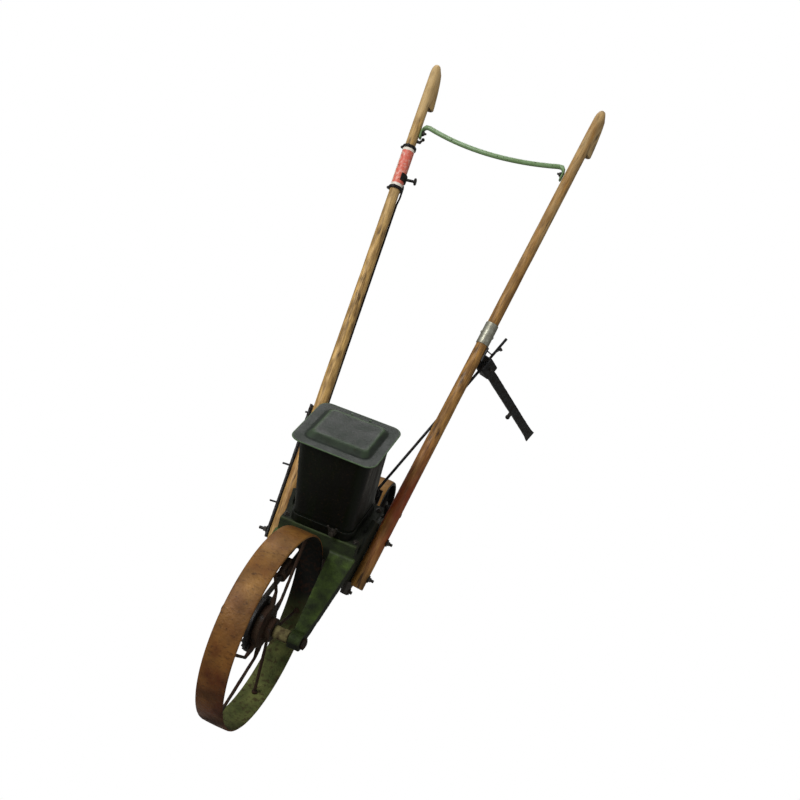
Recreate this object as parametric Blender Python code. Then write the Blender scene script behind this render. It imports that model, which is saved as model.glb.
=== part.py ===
"""Single-row hand seed drill: a spoked front drive wheel, a green hopper with a hinged lid over the
seed feed, two wooden handles with a cross brace, a seed-rate index, a folding row marker, and an
opener, coverers and press wheel behind. Metres; +X right, +Y rearwards, +Z up; the wheels stand on z = 0."""

from math import cos, pi, radians, sin

import bmesh
import bpy
from mathutils import Matrix, Vector

# Fits
GAP = 0.0003  # between faces that meet
RUNNING = 0.0005  # between a turning piece and its pin
WHEEL_CLEARANCE = 0.006  # between the front wheel and the frame around it

# Front wheel and axle
WHEEL_RADIUS = 0.19
RIM_WIDTH = 0.053
RIM_WALL = 0.005
AXLE_RADIUS = 0.0065
AXLE_NUT_RADIUS = 0.0115
AXLE_NUT_LENGTH = 0.006
AXLE_TAIL = 0.002  # past the nuts
SPACER_RADIUS = 0.0125
HUB_RADIUS = 0.023
HUB_HALF_WIDTH = 0.022
FLANGE_RADIUS = 0.041
FLANGE_WIDTH = 0.014 + max(0.0, RIM_WIDTH - 0.053)
SPOKE_RADIUS = 0.0036
SPOKE_KINK_RADIUS = 0.068
SPOKE_ROOT_RADII = [0.0068, 0.0055]  # in the flange and just outside it
SPOKE_NUB_RADIUS = 0.006
SPOKE_NUB_LENGTH = 0.006
# Each spoke's angle at the hub and at the rim, in degrees from straight back, rising
SPOKES = [(5, 36), (54, 90), (205, 152), (257, 212), (294, 270), (306, 328)]

# Feed drive: face gear on the hub, pinion and shaft on the left arm
GEAR_RADIUS = 0.054
GEAR_WIDTH = 0.007
GEAR_TEETH = 24
GEAR_TOOTH = 0.0035
PINION_RADIUS = 0.0155
PINION_LENGTH = 0.016
SHAFT_RADIUS = 0.005
SLEEVE_RADIUS = 0.0115
SLEEVE_LENGTH = 0.045
SLEEVE_START = 0.128

# Frame casting
ARM_INNER = RIM_WIDTH / 2 + 0.0275
ARM_WIDTH = 0.026
ARM_DEPTH = 0.024
ARM_BOSS_RADIUS = 0.017
ARM_TOP_RISE = 0.008  # top of the arm over the axle at its front end
LEDGE_HEIGHT = WHEEL_RADIUS + 0.053
LEDGE_INNER = RIM_WIDTH / 2 + 0.0065
LEDGE_OUTER = 0.09
BED_WIDTH = 0.17
BED_TOP = WHEEL_RADIUS + 0.0797
BED_THICKNESS = 0.0135
HOPPER_LENGTH = 0.135
BED_LENGTH = HOPPER_LENGTH + 0.019
SHOULDER_RUN = 0.008
SHOULDER_DEPTH = 0.03
REAR_WALL_MARGIN = 0.005  # past the feed housing, each side
REAR_WALL_THICKNESS = 0.012
REAR_WALL_DEPTH = 0.078
SEAT_THICKNESS = 0.011
SEAT_ABOVE = 0.045
SEAT_BELOW = 0.018
SEAT_START = 0.004
SEAT_END = 0.135

# Feed housing, tube and opener
HOUSING_WIDTH = 0.096
HOUSING_LENGTH = 0.1
HOUSING_DEPTH = 0.09
HOUSING_SIDE_SHIFT = -0.003
REAR_WALL_WIDTH = HOUSING_WIDTH - 2 * HOUSING_SIDE_SHIFT + 2 * REAR_WALL_MARGIN
HOUSING_SETBACK = 0.029
TUBE_RADIUS = 0.014
TUBE_FOOT_RADIUS = 0.0105
TUBE_WALL = 0.002
SHOE_WIDTH = 0.012
SHOE_LENGTH = 0.055
GROUND_CLEARANCE = 0.012

# Hopper and lid
HOPPER_FRONT = WHEEL_RADIUS + 0.017
HOPPER_TOP_WIDTH = 0.151
HOPPER_FOOT_WIDTH = 0.132
HOPPER_HEIGHT = 0.175
HOPPER_WALL = 0.002
HOPPER_FLOOR = 0.003
HOPPER_CORNER = 0.02
OUTLET_RADIUS = 0.016
BASE_HEIGHT = 0.02
BASE_LIP = 0.0025
LID_WIDTH = HOPPER_TOP_WIDTH + 0.027
LID_LENGTH = HOPPER_LENGTH + 0.02
LID_SHEET = 0.002
LID_FLANGE = 0.021
LID_BEVEL = 0.011
LID_RISE = 0.009
LID_CORNER = 0.022
KNUCKLE_RADIUS = 0.0035
HINGE_LENGTH = 0.06
LID_KNUCKLE_LENGTH = 0.024
HINGE_LEAF = 0.0015
HINGE_LEAF_HEIGHT = 0.022

# Handles
HANDLE_FOOT = Vector((0.098, WHEEL_RADIUS + 0.019, WHEEL_RADIUS - 0.025))
HANDLE_LENGTH = 1.177
HANDLE_RAKE = radians(45.46)
HANDLE_SPLAY = radians(5.0)
HANDLE_RADIUS_FOOT = 0.015
HANDLE_RADIUS_MID = 0.0125
HANDLE_RADIUS_TOP = 0.0118
GRIP_LENGTH = 0.112
GRIP_DEPTH = 0.018
GRIP_LEAN = radians(35)  # both grips lean to the right from straight under their poles

# Cross brace: share of the handle's length where it leaves the handles
BRACE_RADIUS = 0.0058
BRACE_AT = 0.862
BRACE_TAIL = 0.03
BRACE_BOW = 0.026

# Seed-rate index on the left handle, in shares of the handle's length
INDEX_FROM = 0.722
INDEX_TO = 0.811
INDEX_SHEET = 0.0018
COLLAR_WIDTH = 0.007
COLLAR_THICKNESS = 0.0042
SLIDER_AT = 0.745
SLIDER_WIDTH = 0.018
SLIDER_THICKNESS = 0.0035
SLIDER_SPREAD = radians(130)
THUMBSCREW_RADIUS = 0.0035
THUMBSCREW_LENGTH = 0.02
THUMBSCREW_HEAD_RADIUS = 0.0085
RATE_ROD_RADIUS = 0.0025
# Places of the rate rod beside the left handle: share of the length, inwards, under
RATE_ROD_RUN = [(0.2, 0.0108, 0.0138), (0.695, 0.0108, 0.0138), (0.711, 0.0124, 0.0159),
                (0.7305, 0.0124, 0.0159)]
RATE_ROD_TIP = (0.0113, 0.0138)

# Side bar on the left handle
SIDE_BAR_FROM = 0.024
SIDE_BAR_LENGTH = 0.296
SIDE_BAR_WIDTH = 0.017
SIDE_BAR_THICKNESS = 0.0055
STUD_RADIUS = 0.0024
STUDS = [(0.0995, 0.017), (0.182, 0.017), (0.301, 0.007)]  # place along the handle, length

# Ferrule and marker rest on the right handle
FERRULE_FROM = 0.569668 / HANDLE_LENGTH
FERRULE_TO = 0.620279 / HANDLE_LENGTH
FERRULE_WALL = 0.0016
CLAMP_LENGTH = 0.034
REST_RADIUS = 0.0019
REST_NUT_RADIUS = 0.0045
REST_NUT_LENGTH = 0.006

# Row marker, folded against the right handle
MARKER_TIP = Vector((0.1873, WHEEL_RADIUS + BED_LENGTH + 0.3125, WHEEL_RADIUS + 0.387))
MARKER_TIP_DROP = 0.03  # from the handles' plane to the rod's
MARKER_LEAN = radians(18.2)  # rod from straight up the handles' plane, outwards
MARKER_LENGTH = 0.436
MARKER_RADIUS = 0.0032
MARKER_EYE_RADIUS = 0.011
MARKER_EYE_THICKNESS = 0.008
PIVOT_RADIUS = 0.0045
HEAD_FROM_TIP = 0.0745
HEAD_LENGTH = 0.036
HEAD_WIDTH = 0.027
HEAD_ABOVE = 0.0105
HEAD_BELOW = 0.032
LEG_LENGTH = 0.375
LEG_WIDTH = 0.022
LEG_THICKNESS = 0.009
FOOT_LENGTH = 0.05
FOOT_WIDTH = 0.03
LEG_TILT = radians(18.8)  # leg from square under the handles' plane, outwards

# Rear rails, coverers and press wheel
PRESS_RADIUS = 0.07
PRESS_WIDTH = 0.044
PRESS_BACK = WHEEL_RADIUS + BED_LENGTH + 0.241
PRESS_AXLE_TAIL = 0.003  # past the rails
PRESS_RIM = 0.009
PRESS_WEB = 0.01
PRESS_HUB_RADIUS = 0.02
PRESS_AXLE_RADIUS = 0.006
RAIL_THICKNESS = 0.006
RAIL_DEPTH = 0.024
RAIL_FRONT = WHEEL_RADIUS + BED_LENGTH - 0.044
RAIL_FRONT_HEIGHT = WHEEL_RADIUS + 0.032
COVERER_BACK = WHEEL_RADIUS + BED_LENGTH + 0.096
COVERER_THICKNESS = 0.005
COVERER_DEPTH = 0.016
COVERER_BLADE = (0.045, 0.004, 0.034)

# Round pieces
FINE = 72
MEDIUM = 32
SMALL = 16

# Places worked out from the sizes above
AXLE = Vector((0, 0, WHEEL_RADIUS))
PRESS_AXLE = Vector((0, PRESS_BACK, PRESS_RADIUS))
SHOULDER_FRONT = WHEEL_RADIUS + WHEEL_CLEARANCE
BED_REAR = SHOULDER_FRONT + BED_LENGTH
BED_BOTTOM = BED_TOP - BED_THICKNESS
HOPPER_FOOT = BED_TOP + GAP + BASE_HEIGHT + GAP
HOPPER_TOP = HOPPER_FOOT + HOPPER_HEIGHT
HOPPER_MIDDLE = HOPPER_FRONT + HOPPER_LENGTH / 2
HOPPER_REAR = HOPPER_FRONT + HOPPER_LENGTH
HINGE = Vector((0, HOPPER_REAR + GAP + HINGE_LEAF + KNUCKLE_RADIUS, HOPPER_TOP - KNUCKLE_RADIUS - GAP))
HOUSING_TOP = BED_BOTTOM - GAP
HOUSING_FRONT = SHOULDER_FRONT + HOUSING_SETBACK
HOUSING_BOTTOM = HOUSING_TOP - HOUSING_DEPTH
HOUSING_MIDDLE = HOUSING_FRONT + 0.6 * HOUSING_LENGTH
GEAR_FACE = -FLANGE_WIDTH / 2 - GEAR_WIDTH - GEAR_TOOTH - GAP
SHAFT_SIDE = GEAR_FACE - RUNNING - PINION_RADIUS
SHAFT = Vector((SHAFT_SIDE, 0, WHEEL_RADIUS))
RAIL_INNER = REAR_WALL_WIDTH / 2 + GAP
RAIL_OUTER = RAIL_INNER + RAIL_THICKNESS


# ---------------------------------------------------------------- tools

def clear_scene():
    for thing in list(bpy.data.objects):
        bpy.data.objects.remove(thing, do_unlink=True)


def finish(name, colour, roughness, metallic):
    """A plain material for one sub-part."""
    material = bpy.data.materials.new(name)
    material.use_nodes = True
    shader = material.node_tree.nodes["Principled BSDF"]
    shader.inputs["Base Color"].default_value = (*colour, 1.0)
    shader.inputs["Roughness"].default_value = roughness
    shader.inputs["Metallic"].default_value = metallic
    return material


def carrier(name, place, parent=None):
    """An empty on a joint's axis, or the machine's own origin."""
    empty = bpy.data.objects.new(name, None)
    empty.location = Vector(place) - (parent.location if parent else Vector())
    empty.parent = parent
    bpy.context.collection.objects.link(empty)
    return empty


def add(name, bm, parent, look, smooth=True):
    """An object from a bmesh drawn in the machine's frame, hung from its carrier."""
    bmesh.ops.recalc_face_normals(bm, faces=bm.faces)
    if parent.parent:
        bmesh.ops.translate(bm, verts=bm.verts, vec=-parent.location)
    mesh = bpy.data.meshes.new(name)
    bm.to_mesh(mesh)
    bm.free()
    if smooth:
        mesh.shade_smooth()
        mesh.set_sharp_from_angle(angle=radians(35))
    thing = bpy.data.objects.new(name, mesh)
    thing.parent = parent
    bpy.context.collection.objects.link(thing)
    mesh.materials.append(finish(name, *look))
    return thing


def combine(base, tool_bm, operation="UNION"):
    """Adds or cuts a shape with a Boolean whose cutter stays hidden."""
    tool = add(base.name + "_tool", tool_bm, base.parent, ((0.5, 0.5, 0.5), 0.5, 0.0))
    tool.hide_render = True
    tool.display_type = "WIRE"
    modifier = base.modifiers.new(operation.title(), "BOOLEAN")
    modifier.operation = operation
    modifier.solver = "EXACT"
    modifier.object = tool


def loft(rings, closed=False):
    """A closed body through rings of points; the ends are capped unless the rings close on themselves."""
    bm = bmesh.new()
    loops = [[bm.verts.new(point) for point in ring] for ring in rings]
    pairs = list(zip(loops, loops[1:]))
    if closed:
        pairs.append((loops[-1], loops[0]))
    for low, high in pairs:
        for i in range(len(low)):
            j = (i + 1) % len(low)
            bm.faces.new((low[i], low[j], high[j], high[i]))
    if not closed:
        bm.faces.new(loops[0][::-1])
        bm.faces.new(loops[-1])
    return bm


def axes_along(direction, side=None):
    """Two unit vectors square to a direction."""
    w = Vector(direction).normalized()
    u = Vector(side) if side else w.orthogonal()
    u = (u - w * u.dot(w)).normalized()
    return u, w.cross(u)


def ring(centre, u, v, radius, sides):
    """Points of a circle in the plane of u and v."""
    turn = 2 * pi / sides
    return [Vector(centre) + radius * (cos(i * turn) * u + sin(i * turn) * v) for i in range(sides)]


def turned(centre, axis, profile, sides, hollow=False):
    """A turned body; the profile lists (place along the axis, radius), round a closed outline if hollow."""
    u, v = axes_along(axis)
    w = Vector(axis).normalized()
    return loft([ring(Vector(centre) + along * w, u, v, radius, sides) for along, radius in profile],
                hollow)


def sleeve(centre, axis, start, end, inner, outer, sides):
    """A plain tube."""
    return turned(centre, axis, [(start, inner), (start, outer), (end, outer), (end, inner)], sides, True)


def rod(points, radii, sides=SMALL, side=None):
    """A round rod along a bent path, with a radius for each point."""
    rings = []
    for i, point in enumerate(points):
        before = points[i] - points[i - 1] if i else points[1] - points[0]
        after = points[i + 1] - point if i + 1 < len(points) else before
        tangent = before.normalized() + after.normalized()
        u, v = axes_along(tangent, side or (0.21, 0.34, 0.92))
        rings.append(ring(point, u, v, radii[i], sides))
    return loft(rings)


def block(low, high):
    """A box between two corners."""
    (x0, y0, z0), (x1, y1, z1) = low, high
    outline = [(x0, y0), (x1, y0), (x1, y1), (x0, y1)]
    return loft([[Vector((x, y, z)) for x, y in outline] for z in (z0, z1)])


def block_in(frame, low, high):
    """A box between two corners of a turned frame."""
    bm = block(low, high)
    bm.transform(frame)
    return bm


def slab(outline, x0, x1):
    """A plate cut to an outline of (y, z) points, between two sideways places."""
    return loft([[Vector((x, y, z)) for y, z in outline] for x in (x0, x1)])


def rounded(width, length, corner, middle, height, steps=5):
    """A rectangle with round corners, about a middle on the machine's centre line."""
    points = []
    for quarter, (sx, sy) in enumerate([(1, 1), (-1, 1), (-1, -1), (1, -1)]):
        for step in range(steps + 1):
            angle = (quarter + step / steps) * pi / 2
            x = sx * (width / 2 - corner) + corner * cos(angle)
            y = sy * (length / 2 - corner) + corner * sin(angle)
            points.append(Vector((x, middle + y, height)))
    return points


class Pole:
    """The frame of one handle: outwards, under and along, from its foot."""

    def __init__(self, side):
        run = cos(HANDLE_SPLAY)
        self.foot = Vector((side * HANDLE_FOOT.x, HANDLE_FOOT.y, HANDLE_FOOT.z))
        self.along = Vector((side * sin(HANDLE_SPLAY), run * cos(HANDLE_RAKE), run * sin(HANDLE_RAKE)))
        self.under = Vector((0, sin(HANDLE_RAKE), -cos(HANDLE_RAKE)))
        self.outward = side * self.under.cross(self.along)

    def at(self, share, out=0.0, under=0.0):
        """A point by its share of the length and its offsets."""
        return self.foot + share * HANDLE_LENGTH * self.along + out * self.outward + under * self.under

    def frame(self):
        """A matrix whose axes are outwards, under and along."""
        columns = (self.outward, self.under, self.along)
        rows = [[column[i] for column in columns] + [self.foot[i]] for i in range(3)]
        return Matrix(rows + [[0, 0, 0, 1]])


def pole_radius(share):
    """The handle's radius: thickest at the foot, thinner by the middle."""
    if share < 0.5:
        return HANDLE_RADIUS_FOOT + (HANDLE_RADIUS_MID - HANDLE_RADIUS_FOOT) * share / 0.5
    return HANDLE_RADIUS_MID + (HANDLE_RADIUS_TOP - HANDLE_RADIUS_MID) * (share - 0.5) / 0.5


# ---------------------------------------------------------------- looks

TREAD = ((0.30, 0.14, 0.07), 0.75, 0.3)
IRON = ((0.02, 0.02, 0.02), 0.6, 0.6)
RUSTY = ((0.10, 0.06, 0.04), 0.8, 0.4)
GREEN = ((0.10, 0.17, 0.06), 0.55, 0.0)
DARK_GREEN = ((0.02, 0.035, 0.015), 0.5, 0.0)
GREY_GREEN = ((0.08, 0.12, 0.10), 0.45, 0.0)
SAGE = ((0.16, 0.28, 0.13), 0.5, 0.0)
VARNISH = ((0.45, 0.24, 0.07), 0.4, 0.0)
GALVANISED = ((0.35, 0.36, 0.34), 0.45, 0.8)
RED = ((0.65, 0.12, 0.07), 0.5, 0.0)


# ---------------------------------------------------------------- front wheel

def radial(radius, angle):
    """A point of the front wheel's middle plane."""
    return AXLE + radius * Vector((0, cos(angle), sin(angle)))


def front_wheel(body):
    half = RIM_WIDTH / 2
    inner = WHEEL_RADIUS - RIM_WALL
    add("front_rim", sleeve(AXLE, (1, 0, 0), -half, half, inner, WHEEL_RADIUS, FINE), body, TREAD)

    flange = FLANGE_WIDTH / 2
    bore = AXLE_RADIUS + RUNNING
    outline = [(-HUB_HALF_WIDTH, bore), (-HUB_HALF_WIDTH, HUB_RADIUS), (-flange, HUB_RADIUS),
               (-flange, FLANGE_RADIUS),
               (flange, FLANGE_RADIUS), (flange, HUB_RADIUS), (HUB_HALF_WIDTH,
                                                               HUB_RADIUS), (HUB_HALF_WIDTH, bore)]
    hub = add("front_hub", turned(AXLE, (1, 0, 0), outline, MEDIUM, True), body, RUSTY)

    end = inner - GAP
    for hub_angle, rim_angle in SPOKES:
        at_hub, at_rim = radians(hub_angle), radians(rim_angle)
        at_kink = at_hub + 0.12 * (at_rim - at_hub)
        root, kink = radial(FLANGE_RADIUS - 0.006, at_hub), radial(SPOKE_KINK_RADIUS, at_kink)
        neck = radial(FLANGE_RADIUS + 0.008, at_hub)
        seat, tip = radial(end - SPOKE_NUB_LENGTH, at_rim), radial(end, at_rim)
        path = [root, neck, kink, seat, seat.lerp(tip, 0.15), tip]
        radii = SPOKE_ROOT_RADII + [SPOKE_RADIUS] * 2 + [SPOKE_NUB_RADIUS] * 2
        combine(hub, rod(path, radii, 12, (1, 0, 0)))

    back = -flange - GAP
    front = back - GEAR_WIDTH
    gear = add("drive_gear", sleeve(AXLE, (1, 0, 0), front, back, HUB_RADIUS + GAP, GEAR_RADIUS, FINE),
               body, IRON)
    for i in range(GEAR_TEETH):
        turn = Matrix.Translation(AXLE) @ Matrix.Rotation(2 * pi * i / GEAR_TEETH, 4, "X")
        low = (front - GEAR_TOOTH, GEAR_RADIUS - 0.014, -GEAR_TOOTH / 2)
        high = (front + GEAR_WIDTH / 2, GEAR_RADIUS - 0.001, GEAR_TOOTH / 2)
        combine(gear, block_in(turn, low, high))


def drive_shaft(body):
    profile = [(GEAR_RADIUS - PINION_LENGTH - 0.0022, SHAFT_RADIUS),
               (GEAR_RADIUS - PINION_LENGTH, SHAFT_RADIUS),
               (GEAR_RADIUS - PINION_LENGTH, PINION_RADIUS), (GEAR_RADIUS, PINION_RADIUS),
               (GEAR_RADIUS, SHAFT_RADIUS), (HOUSING_FRONT - GAP, SHAFT_RADIUS)]
    add("drive_shaft", turned(SHAFT, (0, 1, 0), profile, 24), body, IRON)


def front_axle(machine):
    reach = ARM_INNER + ARM_WIDTH
    end = reach + AXLE_NUT_LENGTH + AXLE_TAIL
    axle = add("front_axle", turned(AXLE, (1, 0, 0), [(-end, AXLE_RADIUS), (end, AXLE_RADIUS)], SMALL),
               machine, IRON)
    for side in (-1, 1):
        nut = [(reach + GAP, AXLE_NUT_RADIUS), (reach + GAP + AXLE_NUT_LENGTH, AXLE_NUT_RADIUS)]
        combine(axle, turned(AXLE, (side, 0, 0), nut, 6))
    bore = AXLE_RADIUS + GAP
    for name, side in (("axle_spacer_left", -1), ("axle_spacer_right", 1)):
        start, stop = HUB_HALF_WIDTH + RUNNING, ARM_INNER - GAP
        add(name, sleeve(AXLE, (side, 0, 0), start, stop, bore, SPACER_RADIUS, 24), machine, RUSTY)


# ---------------------------------------------------------------- frame

def arm_section(side, y, inner, outer, top):
    outline = [(inner, top - ARM_DEPTH), (outer, top - ARM_DEPTH), (outer, top), (inner, top)]
    return [Vector((side * x, y, z)) for x, z in outline]


def arm_top(y):
    """Height of the arms' top at a place along the machine."""
    tip = WHEEL_RADIUS + ARM_TOP_RISE
    return tip + (LEDGE_HEIGHT - tip) * y / (SHOULDER_FRONT + 0.004)


def frame_casting(machine):
    half = BED_WIDTH / 2
    shoulder = [(SHOULDER_FRONT, LEDGE_HEIGHT - SHOULDER_DEPTH), (SHOULDER_FRONT, LEDGE_HEIGHT + 0.001),
                (SHOULDER_FRONT + SHOULDER_RUN, BED_TOP), (BED_REAR, BED_TOP), (BED_REAR, BED_BOTTOM),
                (SHOULDER_FRONT + 0.02, BED_BOTTOM), (SHOULDER_FRONT + 0.02, LEDGE_HEIGHT - SHOULDER_DEPTH)]
    frame = add("frame_casting", slab(shoulder, -half, half), machine, GREEN)
    for side in (-1, 1):
        tip = arm_section(side, 0, ARM_INNER, ARM_INNER + ARM_WIDTH, arm_top(0))
        neck = arm_section(side, ARM_BOSS_RADIUS, ARM_INNER, ARM_INNER + ARM_WIDTH,
                           arm_top(ARM_BOSS_RADIUS))
        back = arm_section(side, SHOULDER_FRONT + 0.004, LEDGE_INNER, LEDGE_OUTER, LEDGE_HEIGHT)
        combine(frame, loft([tip, neck, back]))
        boss = turned(AXLE, (side, 0, 0), [(ARM_INNER, ARM_BOSS_RADIUS), (ARM_INNER + ARM_WIDTH,
                                                                          ARM_BOSS_RADIUS)], 24)
        combine(frame, boss)
        pole = Pole(side)
        inside = -HANDLE_RADIUS_FOOT - GAP
        low = (inside - SEAT_THICKNESS, -SEAT_ABOVE, SEAT_START)
        combine(frame, block_in(pole.frame(), low, (inside, SEAT_BELOW, SEAT_END)))
    wall = REAR_WALL_WIDTH / 2
    low = (-wall, BED_REAR - REAR_WALL_THICKNESS, BED_TOP - REAR_WALL_DEPTH)
    combine(frame, block(low, (wall, BED_REAR, BED_BOTTOM + 0.004)))
    reach = ARM_INNER + ARM_WIDTH + 0.01
    bore = turned(AXLE, (1, 0, 0), [(-reach, AXLE_RADIUS + GAP), (reach, AXLE_RADIUS + GAP)], SMALL)
    combine(frame, bore, "DIFFERENCE")
    outlet = turned((0, HOPPER_MIDDLE, 0), (0, 0, 1), [(BED_BOTTOM - 0.01, OUTLET_RADIUS), (BED_TOP + 0.01,
                                                                                            OUTLET_RADIUS)], 24)
    combine(frame, outlet, "DIFFERENCE")


def shaft_bearing(machine):
    end = SLEEVE_START + SLEEVE_LENGTH
    bearing = add("shaft_bearing", sleeve(SHAFT, (0, 1, 0), SLEEVE_START, end, SHAFT_RADIUS + RUNNING,
                                          SLEEVE_RADIUS, 24),
                  machine, RUSTY)
    under = ARM_DEPTH + GAP
    start, stop = SLEEVE_START + 0.006, end - 0.006
    foot = WHEEL_RADIUS + SLEEVE_RADIUS - 0.002
    hanger = [(start, foot), (stop, foot), (stop, arm_top(stop) - under), (start, arm_top(start) - under)]
    combine(bearing, slab(hanger, SHAFT_SIDE - 0.008, SHAFT_SIDE + 0.004))


# ---------------------------------------------------------------- feed and opener

def feed_housing(machine):
    x0 = HOUSING_SIDE_SHIFT - HOUSING_WIDTH / 2
    x1 = HOUSING_SIDE_SHIFT + HOUSING_WIDTH / 2
    rear = HOUSING_FRONT + HOUSING_LENGTH
    cut = 0.02
    outline = [(HOUSING_FRONT, HOUSING_TOP), (HOUSING_FRONT, HOUSING_BOTTOM + cut),
               (HOUSING_FRONT + cut, HOUSING_BOTTOM),
               (rear - cut, HOUSING_BOTTOM), (rear, HOUSING_BOTTOM + cut), (rear, HOUSING_TOP)]
    add("feed_housing", slab(outline, x0, x1), machine, DARK_GREEN, smooth=False)


def seed_tube(machine):
    top = HOUSING_BOTTOM - GAP
    foot = GROUND_CLEARANCE + 0.018
    profile = [(foot, TUBE_FOOT_RADIUS - TUBE_WALL), (foot, TUBE_FOOT_RADIUS), (top, TUBE_RADIUS),
               (top, TUBE_RADIUS - TUBE_WALL)]
    add("seed_tube", turned((0, HOUSING_MIDDLE, 0), (0, 0, 1), profile, 24, True), machine, IRON)


def opener_shoe(machine):
    top = HOUSING_BOTTOM - GAP
    rear = HOUSING_MIDDLE - TUBE_RADIUS - GAP
    front = rear - SHOE_LENGTH + 0.03
    tip = rear - SHOE_LENGTH
    outline = [(front, top), (rear, top), (rear, GROUND_CLEARANCE), (rear - 0.012, GROUND_CLEARANCE),
               (tip + 0.02, GROUND_CLEARANCE + 0.018), (tip + 0.006,
                                                        GROUND_CLEARANCE + 0.045), (tip + 0.004,
                                                                                    GROUND_CLEARANCE + 0.075)]
    add("opener_shoe", slab(outline, -SHOE_WIDTH / 2, SHOE_WIDTH / 2), machine, RUSTY, smooth=False)


# ---------------------------------------------------------------- hopper and lid

def hopper(machine):
    foot_low = BED_TOP + GAP
    size = (HOPPER_FOOT_WIDTH + 2 * BASE_LIP, HOPPER_LENGTH + 2 * BASE_LIP, HOPPER_CORNER)
    base = loft([rounded(*size, HOPPER_MIDDLE, z) for z in (foot_low, foot_low + BASE_HEIGHT)])
    base_node = add("feed_base", base, machine, DARK_GREEN)
    hole = [(foot_low - 0.01, OUTLET_RADIUS), (HOPPER_FOOT + 0.02, OUTLET_RADIUS)]
    combine(base_node, turned((0, HOPPER_MIDDLE, 0), (0, 0, 1), hole, 24), "DIFFERENCE")

    def shell(inset, z, share):
        width = HOPPER_FOOT_WIDTH + (HOPPER_TOP_WIDTH - HOPPER_FOOT_WIDTH) * share
        return rounded(width - 2 * inset, HOPPER_LENGTH - 2 * inset, HOPPER_CORNER - inset, HOPPER_MIDDLE,
                       z)

    floor = HOPPER_FLOOR / HOPPER_HEIGHT
    rings = [shell(0, HOPPER_FOOT, 0), shell(0, HOPPER_TOP, 1), shell(HOPPER_WALL, HOPPER_TOP, 1),
             shell(HOPPER_WALL, HOPPER_FOOT + HOPPER_FLOOR, floor)]
    bin_node = add("hopper", loft(rings), machine, DARK_GREEN)
    combine(bin_node, turned((0, HOPPER_MIDDLE, 0), (0, 0, 1), hole, 24), "DIFFERENCE")


def hopper_lid(body):
    low = HOPPER_TOP + GAP
    panel_width, panel_length = LID_WIDTH - 2 * LID_FLANGE, LID_LENGTH - 2 * LID_FLANGE
    top_width, top_length = panel_width - 2 * LID_BEVEL, panel_length - 2 * LID_BEVEL
    under = low + LID_RISE - LID_SHEET
    rings = [rounded(top_width, top_length, 0.008, HOPPER_MIDDLE, under),
             rounded(panel_width, panel_length, 0.014, HOPPER_MIDDLE, low),
             rounded(LID_WIDTH, LID_LENGTH, LID_CORNER, HOPPER_MIDDLE, low),
             rounded(LID_WIDTH, LID_LENGTH, LID_CORNER, HOPPER_MIDDLE, low + LID_SHEET),
             rounded(panel_width, panel_length, 0.014, HOPPER_MIDDLE, low + LID_SHEET),
             rounded(top_width, top_length, 0.008, HOPPER_MIDDLE, low + LID_RISE)]
    lid = add("hopper_lid", loft(rings), body, GREY_GREEN)
    half = LID_KNUCKLE_LENGTH / 2
    knuckle = turned(HINGE, (1, 0, 0), [(-half, KNUCKLE_RADIUS), (half, KNUCKLE_RADIUS)], SMALL)
    combine(lid, knuckle)
    web = 0.0018
    combine(lid, block((-half, HINGE.y - web, HINGE.z), (half, HINGE.y + web, low + LID_SHEET / 2)))


def lid_hinge(machine):
    start = HOPPER_REAR + GAP
    top = HINGE.z - KNUCKLE_RADIUS - 0.001
    leaf = block((-HINGE_LENGTH / 2, start, top - HINGE_LEAF_HEIGHT),
                 (HINGE_LENGTH / 2, start + HINGE_LEAF, top))
    hinge = add("lid_hinge", leaf, machine, IRON)
    inner = LID_KNUCKLE_LENGTH / 2 + RUNNING
    for side in (-1, 1):
        reach = [(inner, KNUCKLE_RADIUS), (HINGE_LENGTH / 2, KNUCKLE_RADIUS)]
        combine(hinge, turned(HINGE, (side, 0, 0), reach, SMALL))
        low = (min(side * inner, side * HINGE_LENGTH / 2), start, top - 0.003)
        high = (max(side * inner, side * HINGE_LENGTH / 2), start + HINGE_LEAF + 0.002, HINGE.z)
        combine(hinge, block(low, high))


# ---------------------------------------------------------------- handles and their fittings

def handles(machine):
    sides = 24
    grip_start = 1 - GRIP_LENGTH / HANDLE_LENGTH
    # share of the length, extra depth of the grip under the pole, share of the pole's radius
    stations = [(0.0, 0.0, 1.0), (0.5, 0.0, 1.0), (grip_start, 0.0, 1.0), (grip_start + 0.002, 0.8, 1.0),
                (grip_start + 0.006, 1.0, 1.0), (grip_start + 0.022, 0.92, 1.0), (grip_start + 0.04, 0.8,
                                                                                  1.0),
                (grip_start + 0.06, 0.6, 1.0), (grip_start + 0.078, 0.34, 0.97), (0.991, 0.06, 0.85),
                (0.997, 0.0, 0.62), (1.0, 0.0, 0.25)]
    for name, side in (("handle_left", -1), ("handle_right", 1)):
        pole = Pole(side)
        lean = (side * sin(GRIP_LEAN), cos(GRIP_LEAN))
        rings = []
        for share, depth, narrow in stations:
            radius = pole_radius(share) * narrow
            points = []
            for i in range(sides):
                angle = 2 * pi * i / sides
                low = sin(angle) * radius
                out = cos(angle) * radius
                swell = depth * GRIP_DEPTH * max(0.0, cos(angle) * lean[0] + sin(angle) * lean[1])
                points.append(pole.at(share, out + swell * lean[0], low + swell * lean[1]))
            rings.append(points)
        add(name, loft(rings), machine, VARNISH)


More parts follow.
